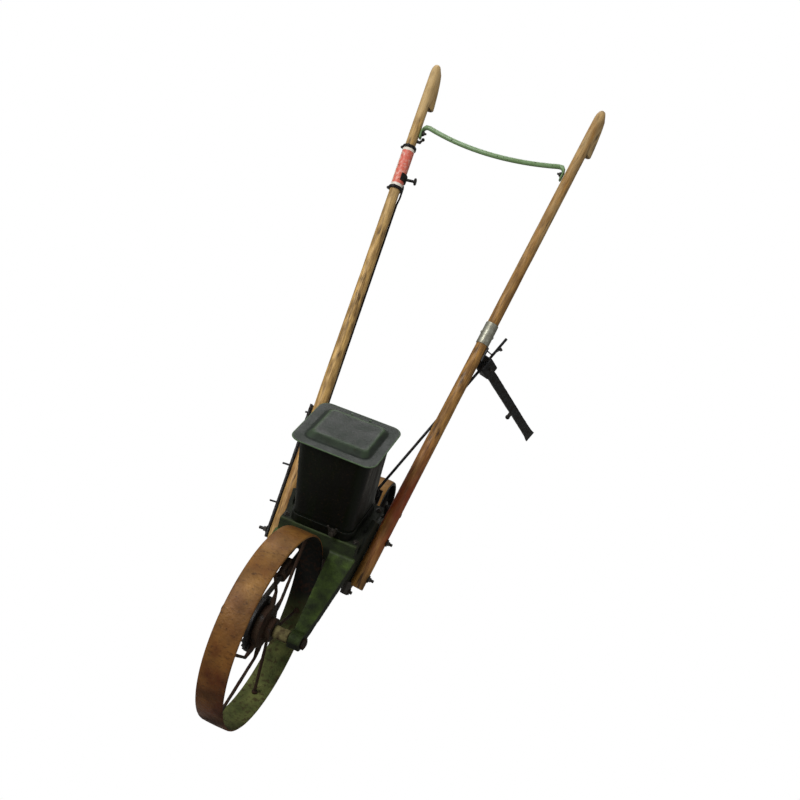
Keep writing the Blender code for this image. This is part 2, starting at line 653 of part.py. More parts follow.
def cross_brace(machine):
    ends = []
    for side in (-1, 1):
        pole = Pole(side)
        inside = -pole_radius(BRACE_AT) - BRACE_RADIUS - GAP - 0.0002
        tail = BRACE_TAIL / HANDLE_LENGTH
        ends.append([pole.at(BRACE_AT - tail, inside), pole.at(BRACE_AT - tail / 3, inside),
                     pole.at(BRACE_AT, inside - 0.004), pole.at(BRACE_AT, inside - 0.013)])
    left, right = ends
    steps = 12
    front = -Pole(1).under * 0.35 - Pole(1).along * 0.94
    middle = []
    for i in range(1, steps):
        share = i / steps
        sag = 4 * share * (1 - share) * BRACE_BOW
        middle.append(left[-1].lerp(right[-1], share) + front * sag)
    path = left + middle + right[::-1]
    add("cross_brace", rod(path, [BRACE_RADIUS] * len(path), 12, Pole(1).under), machine, SAGE)


def half_shell(pole, start, end, inner, thickness, facing, spread, steps=12):
    """A sheet bent round a pole, about a facing angle in its cross-section."""
    rings = []
    for share in (start, end):
        points = []
        for radius, order in ((inner, range(steps + 1)), (inner + thickness, range(steps, -1, -1))):
            for i in order:
                angle = facing + spread * (i / steps - 0.5)
                points.append(pole.at(share, cos(angle) * radius, sin(angle) * radius))
        rings.append(points)
    return loft(rings)


def pole_sleeve(pole, start, end, gap, thickness, sides=24):
    """A band round a pole that follows its taper."""
    rings = []
    for share, add_radius in ((start, gap), (start, gap + thickness), (end, gap + thickness), (end, gap)):
        u, v = pole.outward, pole.under
        rings.append(ring(pole.at(share), u, v, pole_radius(share) + add_radius, sides))
    return loft(rings, True)


def rate_index(machine):
    pole = Pole(-1)
    inner = pole_radius(INDEX_FROM) + GAP
    margin = (COLLAR_WIDTH / 2 + GAP) / HANDLE_LENGTH
    start, end = INDEX_FROM + margin, INDEX_TO - margin
    add("index_plate", half_shell(pole, start, end, inner, INDEX_SHEET, radians(-115), radians(190)),
        machine, RED)
    width = COLLAR_WIDTH / HANDLE_LENGTH / 2
    for name, share in (("index_collar_lower", INDEX_FROM), ("index_collar_upper", INDEX_TO)):
        add(name, pole_sleeve(pole, share - width, share + width, GAP, COLLAR_THICKNESS), machine, IRON)

    width = SLIDER_WIDTH / HANDLE_LENGTH / 2
    clear = GAP + INDEX_SHEET + 2 * GAP
    saddle = half_shell(pole, SLIDER_AT - width, SLIDER_AT + width, pole_radius(SLIDER_AT) + clear,
                        SLIDER_THICKNESS,
                        pi, SLIDER_SPREAD)
    slider = add("rate_slider", saddle, machine, IRON)
    reach = pole_radius(SLIDER_AT) + clear + SLIDER_THICKNESS / 2
    screw = [(reach, THUMBSCREW_RADIUS), (reach + THUMBSCREW_LENGTH, THUMBSCREW_RADIUS),
             (reach + THUMBSCREW_LENGTH, THUMBSCREW_HEAD_RADIUS), (reach + THUMBSCREW_LENGTH + 0.004,
                                                                   THUMBSCREW_HEAD_RADIUS)]
    combine(slider, turned(pole.at(SLIDER_AT), -pole.outward, screw, SMALL))

    top = SLIDER_AT - width - GAP / HANDLE_LENGTH
    path = [pole.at(share, -inwards, under) for share, inwards, under in RATE_ROD_RUN]
    path.append(pole.at(top, -RATE_ROD_TIP[0], RATE_ROD_TIP[1]))
    knee = path[0]
    foot = Vector((-BED_WIDTH / 2 + 0.006, BED_REAR - 0.012, BED_TOP + GAP))
    path.insert(0, knee.lerp(foot, 0.3) + Vector((0, 0.002, 0)))
    path.insert(0, foot + Vector((0, 0, 0.012)))
    path.insert(0, foot)
    add("rate_rod", rod(path, [RATE_ROD_RADIUS] * len(path), 8, (1, 0.2, 0)), machine, IRON)


def side_bar(machine):
    pole = Pole(-1)
    inner = HANDLE_RADIUS_FOOT + GAP
    low = (inner, -SIDE_BAR_WIDTH / 2, SIDE_BAR_FROM)
    high = (inner + SIDE_BAR_THICKNESS, SIDE_BAR_WIDTH / 2, SIDE_BAR_FROM + SIDE_BAR_LENGTH)
    bar = add("side_bar", block_in(pole.frame(), low, high), machine, IRON)
    for along, length in STUDS:
        start = inner + SIDE_BAR_THICKNESS / 2
        stud = [(start, STUD_RADIUS), (inner + SIDE_BAR_THICKNESS + length, STUD_RADIUS)]
        combine(bar, turned(pole.at(along / HANDLE_LENGTH), pole.outward, stud, 10))


def ferrule(machine):
    pole = Pole(1)
    add("ferrule", pole_sleeve(pole, FERRULE_FROM, FERRULE_TO, GAP, FERRULE_WALL), machine, GALVANISED)
    end = FERRULE_FROM - GAP / HANDLE_LENGTH
    start = end - CLAMP_LENGTH / HANDLE_LENGTH
    radius = pole_radius(start)
    clamp = half_shell(pole, start, end, radius + GAP, 0.0045, radians(62), radians(150))
    rest = add("marker_rest", clamp, machine, IRON)
    rod_place = marker_point(MARKER_LENGTH - 0.028)
    level = MARKER_TIP_DROP - MARKER_RADIUS - REST_NUT_RADIUS - 2 * RUNNING
    local = pole.frame().inverted() @ rod_place
    root = pole.frame() @ Vector((radius + 0.001, 0.006, start * HANDLE_LENGTH + CLAMP_LENGTH * 0.86))
    elbow = pole.frame() @ Vector((radius + 0.011, level, start * HANDLE_LENGTH + CLAMP_LENGTH * 0.86))
    tip = pole.frame() @ Vector((local.x + 0.009, level, local.z))
    before_nut = tip + (elbow - tip).normalized() * REST_NUT_LENGTH
    path = [root, elbow, before_nut, before_nut.lerp(tip, 0.05), tip]
    radii = [REST_RADIUS] * 3 + [REST_NUT_RADIUS] * 2
    combine(rest, rod(path, radii, 8))


# ---------------------------------------------------------------- row marker

def marker_axes():
    """The rod's direction, the leg's, and the hinge axis."""
    axis = Pole(1).under
    up = Vector((0, cos(HANDLE_RAKE), sin(HANDLE_RAKE)))
    outwards = Vector((1, 0, 0))
    direction = cos(MARKER_LEAN) * up + sin(MARKER_LEAN) * outwards
    beside = cos(MARKER_LEAN) * outwards - sin(MARKER_LEAN) * up
    leg = cos(LEG_TILT) * axis + sin(LEG_TILT) * beside
    return direction, leg, axis


def marker_pivot():
    direction = marker_axes()[0]
    return MARKER_TIP - direction * MARKER_LENGTH


def marker_point(along):
    return marker_pivot() + marker_axes()[0] * along


def marker_bracket(machine):
    pole = Pole(1)
    pivot = marker_pivot()
    gap = MARKER_EYE_THICKNESS / 2 + RUNNING
    up = Vector((0, cos(HANDLE_RAKE), sin(HANDLE_RAKE)))
    near = pivot + pole.under * gap
    tongue = 0.005
    back = BED_REAR + GAP
    plate = 0.005
    top = near + up * 0.012
    far = top + pole.under * tongue
    reach_low = (back + plate - near.y) / up.y
    join = near + up * reach_low
    join_far = far + up * ((back + plate - far.y) / up.y)
    outline = [(back, join_far.z - 0.035), (back + plate, join_far.z - 0.035), (join_far.y, join_far.z),
               (far.y, far.z), (top.y, top.z), (join.y, join.z), (back + plate, BED_TOP - 0.002), (back,
                                                                                                   BED_TOP - 0.002)]
    bracket = add("marker_bracket", slab(outline, pivot.x - 0.014, pivot.x + 0.014), machine, IRON)
    pin = turned(pivot, pole.under, [(-gap - 0.004, PIVOT_RADIUS), (gap + tongue / 2, PIVOT_RADIUS)], SMALL)
    combine(bracket, pin)


def marker(body):
    direction, leg, axis = marker_axes()
    across = direction.cross(leg)
    pivot = marker_pivot()
    half = MARKER_EYE_THICKNESS / 2
    eye = sleeve(pivot, axis, -half, half, PIVOT_RADIUS + RUNNING, MARKER_EYE_RADIUS, 24)
    arm = add("marker_rod", eye, body, IRON)
    start = pivot + direction * (MARKER_EYE_RADIUS - 0.002)
    combine(arm, turned(start, direction, [(0, MARKER_RADIUS), (MARKER_LENGTH - MARKER_EYE_RADIUS + 0.002,
                                                                MARKER_RADIUS)], 12))

    centre = marker_point(MARKER_LENGTH - HEAD_FROM_TIP)
    rows = [[v[i] for v in (direction, leg, across)] + [centre[i]] for i in range(3)]
    frame = Matrix(rows + [[0, 0, 0, 1]])
    low = (-HEAD_LENGTH / 2, -HEAD_ABOVE, -HEAD_WIDTH / 2)
    head = add("marker_head", block_in(frame, low, (HEAD_LENGTH / 2, HEAD_BELOW, HEAD_WIDTH / 2)), body,
               IRON)
    bevel = head.modifiers.new("Rounding", "BEVEL")
    bevel.width = 0.004
    bevel.segments = 2
    bore = turned(centre - direction * 0.03, direction,
                  [(0, MARKER_RADIUS + GAP), (0.06, MARKER_RADIUS + GAP)], 12)
    combine(head, bore, "DIFFERENCE")

    w, t = LEG_WIDTH / 2, LEG_THICKNESS / 2
    flare = FOOT_WIDTH / 2
    foot = LEG_LENGTH - FOOT_LENGTH
    # place along the leg, half width, half thickness
    sections = [(HEAD_BELOW + GAP, w * 0.9, t), (HEAD_BELOW + 0.02, w, t), (foot, w, t),
                (foot + 0.5 * FOOT_LENGTH, 0.8 * flare, t * 0.8),
                (LEG_LENGTH, flare, t * 0.5)]
    rings = [[frame @ Vector((sx * half_w, along, sz * half_t)) for sx,
              sz in ((-1, -1), (1, -1), (1, 1), (-1, 1))]
             for along, half_w, half_t in sections]
    add("marker_leg", loft(rings), body, IRON)


# ---------------------------------------------------------------- rear end

def rail_line(y):
    share = (y - RAIL_FRONT) / (PRESS_BACK - RAIL_FRONT)
    return RAIL_FRONT_HEIGHT + (PRESS_RADIUS - RAIL_FRONT_HEIGHT) * share


def rear_rails(machine):
    half = RAIL_DEPTH / 2
    for name, side in (("rear_rail_left", -1), ("rear_rail_right", 1)):
        eye = PRESS_BACK + 0.012
        outline = [(RAIL_FRONT, rail_line(RAIL_FRONT) + half), (RAIL_FRONT, rail_line(RAIL_FRONT) - half),
                   (eye, rail_line(eye) - half), (eye, rail_line(eye) + half)]
        rail = add(name, slab(outline, side * RAIL_INNER, side * RAIL_OUTER), machine, GREEN, smooth=False)
        bore = turned(PRESS_AXLE, (1, 0, 0),
                      [(-0.1, PRESS_AXLE_RADIUS + GAP), (0.1, PRESS_AXLE_RADIUS + GAP)], SMALL)
        combine(rail, bore, "DIFFERENCE")


def press_wheel(machine, body):
    reach = RAIL_OUTER + PRESS_AXLE_TAIL
    add("press_axle", turned(PRESS_AXLE, (1, 0, 0), [(-reach, PRESS_AXLE_RADIUS),
                                                     (reach, PRESS_AXLE_RADIUS)], SMALL),
        machine, IRON)
    half = PRESS_WIDTH / 2
    bore = PRESS_AXLE_RADIUS + RUNNING
    web = PRESS_WEB / 2
    inner = PRESS_RADIUS - PRESS_RIM
    outline = [(-half, bore), (-half, PRESS_HUB_RADIUS), (-web, PRESS_HUB_RADIUS), (-web, inner),
               (-half, inner),
               (-half, PRESS_RADIUS), (half, PRESS_RADIUS), (half, inner), (web, inner), (web,
                                                                                          PRESS_HUB_RADIUS),
               (half, PRESS_HUB_RADIUS), (half, bore)]
    add("press_wheel", turned(PRESS_AXLE, (1, 0, 0), outline, 48, True), body, TREAD)
    for name, side in (("press_spacer_left", -1), ("press_spacer_right", 1)):
        start, stop = half + RUNNING, RAIL_INNER - GAP
        add(name, sleeve(PRESS_AXLE, (side, 0, 0), start, stop, PRESS_AXLE_RADIUS + GAP, SPACER_RADIUS,
                         20), machine, IRON)


def coverers(machine):
    half = COVERER_DEPTH / 2
    for name, side in (("coverer_left", -1), ("coverer_right", 1)):
        outer = RAIL_INNER - GAP
        inner = outer - COVERER_THICKNESS
        top = rail_line(COVERER_BACK) + RAIL_DEPTH / 2
        low = GROUND_CLEARANCE + COVERER_BLADE[2]
        drag = 0.03
        outline = [(COVERER_BACK - half, top), (COVERER_BACK - half + drag, low - 0.02),
                   (COVERER_BACK + half + drag, low - 0.02),
                   (COVERER_BACK + half, top)]
        stem = add(name, slab(outline, side * inner, side * outer), machine, IRON, smooth=False)
        length, thickness, height = COVERER_BLADE
        turn = Matrix.Rotation(side * radians(-38), 4, "Z")
        place = Matrix.Translation((side * (inner + COVERER_THICKNESS / 2 - 0.014), COVERER_BACK + drag,
                                    GROUND_CLEARANCE))
        blade = block_in(place @ turn, (-length / 2, -thickness / 2, 0),
                         (length / 2, thickness / 2, height))
        combine(stem, blade)


# ---------------------------------------------------------------- the machine

def centre_machine(machine):
    """Moves the machine so that its box stands centred on the origin."""
    bpy.context.view_layer.update()
    graph = bpy.context.evaluated_depsgraph_get()
    low = Vector((1e9, 1e9, 1e9))
    high = -low
    for thing in bpy.data.objects:
        if thing.type != "MESH" or thing.hide_render:
            continue
        shape = thing.evaluated_get(graph)
        for corner in shape.data.vertices:
            point = shape.matrix_world @ corner.co
            low = Vector(map(min, low, point))
            high = Vector(map(max, high, point))
    machine.location = (-(low.x + high.x) / 2, -(low.y + high.y) / 2, -low.z)
    bpy.context.view_layer.update()


def main():
    clear_scene()
    machine = carrier("machine", (0, 0, 0))
    front_wheel(carrier("front_wheel_axis", AXLE, machine))
    drive_shaft(carrier("drive_shaft_axis", SHAFT, machine))
    front_axle(machine)
    frame_casting(machine)
    shaft_bearing(machine)
    feed_housing(machine)
    seed_tube(machine)
    opener_shoe(machine)
    hopper(machine)
    hopper_lid(carrier("lid_axis", HINGE, machine))
    lid_hinge(machine)
    handles(machine)
    cross_brace(machine)
    rate_index(machine)
    side_bar(machine)
    ferrule(machine)
    marker_bracket(machine)
    marker(carrier("marker_axis", marker_pivot(), machine))
    rear_rails(machine)
    press_wheel(machine, carrier("press_wheel_axis", PRESS_AXLE, machine))
    coverers(machine)
    centre_machine(machine)


main()
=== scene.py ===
from math import asin, cos, hypot, pi, radians, sin

import bmesh
import bpy
from bpy.props import FloatProperty, FloatVectorProperty, IntProperty
from mathutils import Matrix, Vector, noise


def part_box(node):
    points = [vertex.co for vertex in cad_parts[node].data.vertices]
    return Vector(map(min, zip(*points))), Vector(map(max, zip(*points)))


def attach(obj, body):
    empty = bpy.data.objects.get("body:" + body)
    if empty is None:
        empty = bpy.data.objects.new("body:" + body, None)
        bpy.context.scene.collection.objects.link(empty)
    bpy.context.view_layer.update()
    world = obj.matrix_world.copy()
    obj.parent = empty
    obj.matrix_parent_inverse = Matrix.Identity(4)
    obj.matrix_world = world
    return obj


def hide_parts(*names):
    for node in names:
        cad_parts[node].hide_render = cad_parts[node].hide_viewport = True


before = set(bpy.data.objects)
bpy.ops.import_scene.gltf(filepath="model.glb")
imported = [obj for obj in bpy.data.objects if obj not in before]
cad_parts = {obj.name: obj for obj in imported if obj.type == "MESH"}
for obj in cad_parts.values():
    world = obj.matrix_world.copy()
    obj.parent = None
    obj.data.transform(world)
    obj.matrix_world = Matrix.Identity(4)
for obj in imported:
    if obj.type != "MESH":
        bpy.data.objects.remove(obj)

bl_info = {
    "name": "Seed Drill Looks",
    "version": (1, 0, 0),
    "blender": (4, 5, 0),
    "location": "3D View > Sidebar > Seed Drill",
    "description": "Finishes the surfaces and small fittings of a single-row hand seed drill",
    "category": "Object",
}


# ---------------------------------------------------------------- places: the hubs read from the CAD parts, the rest given as numbers

def middle(node):
    low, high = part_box(node)
    return (low + high) / 2


FRONT_HUB = middle("front_rim")
PRESS_HUB = middle("press_wheel")
GROUND_UNDER_AXLE = Vector((FRONT_HUB.x, FRONT_HUB.y, 0))
HANDLE_RAKE = radians(45.46)
HANDLE_SPLAY = radians(5.0)
HANDLE_LENGTH = 1.177
HANDLE_FOOT = Vector((0.098, 0.209, 0.165))
GRIP_DEPTH = 0.018
GRIP_LEAN = radians(35)
MARKER_LEAN = radians(18.2)
LEG_TILT = radians(18.8)


class Pole:
    """One handle's own frame: outwards, under and along, from its foot."""

    def __init__(self, side):
        run = cos(HANDLE_SPLAY)
        self.side = side
        self.foot = GROUND_UNDER_AXLE + Vector((side * HANDLE_FOOT.x, HANDLE_FOOT.y, HANDLE_FOOT.z))
        self.along = Vector((side * sin(HANDLE_SPLAY), run * cos(HANDLE_RAKE), run * sin(HANDLE_RAKE)))
        self.under = Vector((0, sin(HANDLE_RAKE), -cos(HANDLE_RAKE)))
        self.outward = side * self.under.cross(self.along)

    def at(self, share, out=0.0, under=0.0):
        """A point by its share of the length and its offsets."""
        return self.foot + share * HANDLE_LENGTH * self.along + out * self.outward + under * self.under

    def local(self, point):
        """A point's offsets outwards, under and along, in metres."""
        offset = point - self.foot
        return Vector((offset.dot(self.outward), offset.dot(self.under), offset.dot(self.along)))


RIGHT_POLE = Pole(1)
LEFT_POLE = Pole(-1)
HANDLE_RADII = [(0.0, 0.015), (0.5, 0.0125), (1.0, 0.0118)]  # share of the length, radius


def pole_radius(share):
    (a, ra), (b, rb), (c, rc) = HANDLE_RADII
    if share < b:
        return ra + (rb - ra) * (share - a) / (b - a)
    return rb + (rc - rb) * (share - b) / (c - b)


# ---------------------------------------------------------------- colours and sizes a user may change

def linear(code):
    """An sRGB hex colour as linear red, green and blue."""
    parts = [int(code[i:i + 2], 16) / 255 for i in (0, 2, 4)]
    return [p / 12.92 if p <= 0.04045 else ((p + 0.055) / 1.055) ** 2.4 for p in parts]


def colour(label, code):
    return FloatVectorProperty(name=label, description=label + " as seen in plain light", subtype="COLOR",
                               size=3, min=0.0, max=1.0, default=linear(code))


def length(label, metres, low=0.0, high=1.0):
    return FloatProperty(name=label, description=label, unit="LENGTH", min=low, max=high, default=metres)


class SeedDrillColours(bpy.types.PropertyGroup):
    tread_tan: colour("Tread, worn tan", "86602c")
    tread_brown: colour("Tread, rust brown", "54290f")
    rust_dark: colour("Rust, darkest", "2a170b")
    casting_green: colour("Frame paint", "212a10")
    band_chalk: colour("Band paint, chalky", "6a6d3c")
    moss: colour("Frame paint, mossy highlights", "4b6122")
    # This colour is also the near-black painted shade inside the front band and on the frame casting's side faces, bed
    # and hollows.
    grime_and_shade: colour("Oily grime", "0b0b08")
    hopper_green: colour("Hopper paint", "0b0f06")
    lid_green: colour("Lid paint", "151b15")
    lid_wear: colour("Lid paint, rubbed", "1d261d")
    brace_sage: colour("Brace paint", "6f8b60")
    wood_honey: colour("Wood, varnished", "a97c3c")
    wood_pale: colour("Wood, pale varnish", "d3ab66")
    wood_umber: colour("Wood, dark grain", "4e3012")
    wood_red: colour("Wood, red stain", "7e3310")
    wood_bare: colour("Wood, bare and grey", "b89c6c")
    black_iron: colour("Blackened iron", "0b0a0a")
    bright_iron: colour("Iron, rubbed bright", "4c463e")
    sleeve_dust: colour("Axle sleeve, dusty", "6b6340")
    rust: colour("Rusted iron", "2e2114")
    zinc: colour("Galvanised sheet", "a3a596")
    zinc_dull: colour("Galvanised sheet, dull", "6f6a5c")
    plate_red: colour("Index plate enamel", "c9604c")
    plate_white: colour("Index plate border", "ded6c8")
    floor: colour("Floor, as seen", "ffffff")
    floor_shade: colour("Floor, as it lights the machine", "8c8c88")


class SeedDrillSizes(bpy.types.PropertyGroup):
    band_crown: length("Crown of the front band", 0.0007)
    band_waviness: length("Waviness of the front band", 0.0006)
    casting_voxel: length("Grain of the castings' mesh", 0.0018, 0.001, 0.01)
    fitting_voxel: length("Grain of the small fittings' mesh", 0.0009, 0.0005, 0.01)
    dent_depth: length("Depth of dents in sheet metal", 0.0008)
    bolt_width: length("Width of a square bolt head", 0.012)
    bolt_height: length("Height of a bolt head", 0.005)
    rivet_width: length("Width of a rivet head", 0.006)
    grain_width: length("Width of the wood's grain", 0.0016, 0.0002, 0.02)
    floor_size: length("Width of the floor", 40.0, 1.0, 200.0)
    pole_sides: IntProperty(name="Pole sides", description="Facets round a handle", min=12, max=96, default=40)
    band_segments: IntProperty(name="Band segments", description="Facets round the band", min=48, max=512, default=240)


def colours():
    return bpy.context.scene.seed_drill_colours


def sizes():
    return bpy.context.scene.seed_drill_sizes


# ---------------------------------------------------------------- shader tools

def node(tree, kind, inputs=None, **settings):
    """A shader node with its settings; an input given a socket is linked, any other is set."""
    made = tree.nodes.new("ShaderNode" + kind)
    for name, value in settings.items():
        setattr(made, name, value)
    for name, value in (inputs or {}).items():
        if isinstance(value, bpy.types.NodeSocket):
            tree.links.new(value, made.inputs[name])
        elif made.inputs[name].type == "RGBA":
            made.inputs[name].default_value = (*value, 1.0)
        else:
            made.inputs[name].default_value = value
    return made


def start_material(name, roughness=0.6, metallic=0.0, gloss=0.5):
    """A new material, its tree, its shader and its Object coordinates; less gloss for surfaces dulled by dirt."""
    material = bpy.data.materials.new(name)
    material.use_nodes = True
    tree = material.node_tree
    shader = tree.nodes["Principled BSDF"]
    shader.inputs["Roughness"].default_value = roughness
    shader.inputs["Metallic"].default_value = metallic
    shader.inputs["Specular IOR Level"].default_value = gloss
    place = node(tree, "TexCoord").outputs["Object"]
    return material, tree, shader, place


def blotches(tree, place, size, low=0.4, high=0.6, detail=6.0, stretch=(1, 1, 1)):
    """0 to 1 patches about `size` metres across, with edges as soft as low and high are apart."""
    spot = node(tree, "Mapping", {"Vector": place, "Scale": stretch}).outputs["Vector"]
    noise_out = node(tree, "TexNoise", {"Vector": spot, "Scale": 1 / size, "Detail": detail}).outputs["Fac"]
    return node(tree, "MapRange", {"Value": noise_out, "From Min": low, "From Max": high}).outputs["Result"]


def mixed(tree, share, first, second):
    """One colour over another by a share."""
    made = node(tree, "Mix", data_type="RGBA")
    for index, value in ((0, share), (6, first), (7, second)):
        socket = made.inputs[index]
        if isinstance(value, bpy.types.NodeSocket):
            tree.links.new(value, socket)
        else:
            socket.default_value = value if index == 0 else (*value, 1.0)
    return made.outputs[2]


def clamped(tree, kind, first, second=0.0):
    made = node(tree, "Math", {0: first, 1: second}, operation=kind, use_clamp=True)
    return made.outputs[0]


def rubbed(tree, low=0.52, high=0.6):
    """0 to 1 on outer edges, where hands and soil rub a surface; with low above high it gives 0 to 1 in the hollows
    instead, which the casting paint uses for painted shade.
    """
    sharp = node(tree, "NewGeometry").outputs["Pointiness"]
    return node(tree, "MapRange", {"Value": sharp, "From Min": low, "From Max": high}).outputs["Result"]


def relief(tree, shader, height, depth, strength=1.0):
    """Bumps `depth` metres deep from a 0 to 1 height."""
    made = node(tree, "Bump", {"Height": height, "Distance": depth, "Strength": strength})
    tree.links.new(made.outputs["Normal"], shader.inputs["Normal"])


def paint(tree, shader, colour_out, rough_out=None):
    tree.links.new(colour_out, shader.inputs["Base Color"])
    if rough_out:
        tree.links.new(rough_out, shader.inputs["Roughness"])


def between(tree, share, low, high):
    """A number between two by a share."""
    return node(tree, "MapRange", {"Value": share, "To Min": low, "To Max": high}).outputs["Result"]


# ---------------------------------------------------------------- materials

def rusty_tread(name, low, high):
    """Rolled steel band, rust brown and tan: browner towards the bottom and tan towards the top, broad patches,
    scratches round it, bright nicks.
    """
    c = colours()
    material, tree, shader, place = start_material(name, 0.7, 0.1, 0.18)
    height = node(tree, "SeparateXYZ", {"Vector": place}).outputs["Z"]
    level = node(tree, "MapRange", {"Value": height, "From Min": low, "From Max": high}).outputs["Result"]
    # Browner towards the bottom and tan towards the top, by height between low and high; the dark patches on the next
    # line are denser towards the bottom.
    tanned = clamped(tree, "ADD", level, between(tree, blotches(tree, place, 0.035, 0.3, 0.7, 8.0), -0.32, 0.32))
    patch = clamped(tree, "MULTIPLY", blotches(tree, place, 0.045, 0.4, 0.66, 8.0), between(tree, level, 0.8, 0.25))
    base = mixed(tree, tanned, c.tread_brown, c.tread_tan)
    worn = mixed(tree, patch, base, c.rust_dark)
    streaks = blotches(tree, place, 0.004, 0.56, 0.7, stretch=(0.5, 1, 1))
    freckled = mixed(tree, clamped(tree, "MULTIPLY", streaks, 0.55), worn, c.rust_dark)
    nicks = clamped(tree, "MULTIPLY", blotches(tree, place, 0.0022, 0.69, 0.74, 2.0), 0.75)
    paint(tree, shader, mixed(tree, nicks, freckled, c.bright_iron), between(tree, patch, 0.42, 0.78))
    relief(tree, shader, blotches(tree, place, 0.006, 0.3, 0.7), 0.0006, 0.7)
    return material


def worn_band_paint_and_shade():
    """Old green paint inside the band, chalky and flaking low down; above that it is near black, which is painted shade
    inside the band.
    """
    c = colours()
    material, tree, shader, place = start_material("worn green band paint", 0.8, gloss=0.15)
    height = node(tree, "SeparateXYZ", {"Vector": place}).outputs["Z"]
    # Painted shade: from 0.13 m up the inside of the band goes near black; the green paint and its chalk show only low
    # down.
    low_down = node(tree, "MapRange", {"Value": height, "From Min": 0.13, "From Max": 0.02}).outputs["Result"]
    base = mixed(tree, low_down, c.grime_and_shade, c.casting_green)
    chalk = clamped(tree, "MULTIPLY", blotches(tree, place, 0.03, 0.2, 0.6, 8.0), low_down)
    chalky = mixed(tree, clamped(tree, "MULTIPLY", chalk, 0.6), base, c.band_chalk)
    flakes = clamped(tree, "MULTIPLY", blotches(tree, place, 0.008, 0.5, 0.66, 8.0), 0.7)
    paint(tree, shader, mixed(tree, flakes, chalky, c.rust_dark))
    relief(tree, shader, flakes, -0.0002)
    return material


def worn_casting_paint_and_shade():
    """Thick green paint on a sand casting: mossy where light wear shows, patches of soot, rust at the edges. Side
    faces, the bed behind the ledge and the hollows are near black, which is painted shade.
    """
    c = colours()
    material, tree, shader, place = start_material("worn green casting paint", 0.6, gloss=0.25)
    base = mixed(tree, blotches(tree, place, 0.02, 0.2, 0.8, 8.0), c.casting_green, c.moss)
    # Painted shade: side faces, and everything behind the ledge (the bed under the hopper and the rear rails), go near
    # black.
    up = node(tree, "SeparateXYZ", {"Vector": node(tree, "NewGeometry").outputs["Normal"]}).outputs["Z"]
    sideways = node(tree, "MapRange", {"Value": up, "From Min": 0.75, "From Max": 0.25}).outputs["Result"]
    behind = node(tree, "SeparateXYZ", {"Vector": place}).outputs["Y"]
    ledge = FRONT_HUB.y + 0.196
    bed = node(tree, "MapRange", {"Value": behind, "From Min": ledge, "From Max": ledge + 0.014}).outputs["Result"]
    cloud = blotches(tree, place, 0.016, 0.25, 0.75, 8.0)
    side_and_bed_shade = clamped(tree, "MAXIMUM", clamped(tree, "MULTIPLY", sideways, 0.9), clamped(tree, "MULTIPLY", bed, 0.93))
    # Real soot in patches, joined with the painted shade of the side faces and the bed.
    soot_and_shade = clamped(tree, "MAXIMUM", side_and_bed_shade, clamped(tree, "MULTIPLY", cloud, 0.75))
    darkened = mixed(tree, soot_and_shade, base, c.grime_and_shade)
    # Painted shade in the hollows.
    hollow = rubbed(tree, 0.495, 0.45)
    shaded = mixed(tree, clamped(tree, "MULTIPLY", hollow, 0.9), darkened, c.grime_and_shade)
    chips = clamped(tree, "MULTIPLY", rubbed(tree), blotches(tree, place, 0.008, 0.4, 0.6))
    rusty = mixed(tree, chips, shaded, c.rust)
    paint(tree, shader, rusty, between(tree, soot_and_shade, 0.45, 0.75))
    relief(tree, shader, blotches(tree, place, 0.003, 0.3, 0.7, 3.0), 0.0004, 0.8)
    return material


def dark_hopper_paint():
    """Bin paint gone nearly black: green shows in rubbed vertical streaks and along the edges."""
    c = colours()
    material, tree, shader, place = start_material("dark green hopper paint", 0.55, gloss=0.12)
    streaks = blotches(tree, place, 0.016, 0.44, 0.66, stretch=(1, 1, 0.3))
    base = mixed(tree, streaks, c.grime_and_shade, c.hopper_green)
    worn = mixed(tree, clamped(tree, "MULTIPLY", rubbed(tree, 0.51, 0.56), 0.6), base, c.lid_green)
    specks = clamped(tree, "MULTIPLY", blotches(tree, place, 0.003, 0.64, 0.7, 2.0), 0.6)
    paint(tree, shader, mixed(tree, specks, worn, c.rust), between(tree, streaks, 0.5, 0.34))
    relief(tree, shader, blotches(tree, place, 0.008, 0.3, 0.7), 0.0005, 0.6)
    return material


def lid_paint():
    """Grey-green enamel on the pressed lid, dulled on top and rubbed light on its bent edges, with rust specks."""
    c = colours()
    material, tree, shader, place = start_material("grey-green lid paint", 0.5, gloss=0.2)
    cloudy = blotches(tree, place, 0.03, 0.3, 0.7)
    base = mixed(tree, cloudy, c.lid_green, c.lid_wear)
    dust = mixed(tree, clamped(tree, "MULTIPLY", blotches(tree, place, 0.007, 0.45, 0.65), 0.35), base, c.grime_and_shade)
    edges = mixed(tree, clamped(tree, "MULTIPLY", rubbed(tree, 0.502, 0.53), 0.3), dust, c.brace_sage)
    specks = clamped(tree, "MULTIPLY", blotches(tree, place, 0.0025, 0.66, 0.7, 2.0), 0.7)
    paint(tree, shader, mixed(tree, specks, edges, c.rust), between(tree, cloudy, 0.36, 0.5))
    relief(tree, shader, blotches(tree, place, 0.012, 0.3, 0.7), 0.0006, 0.6)
    return material


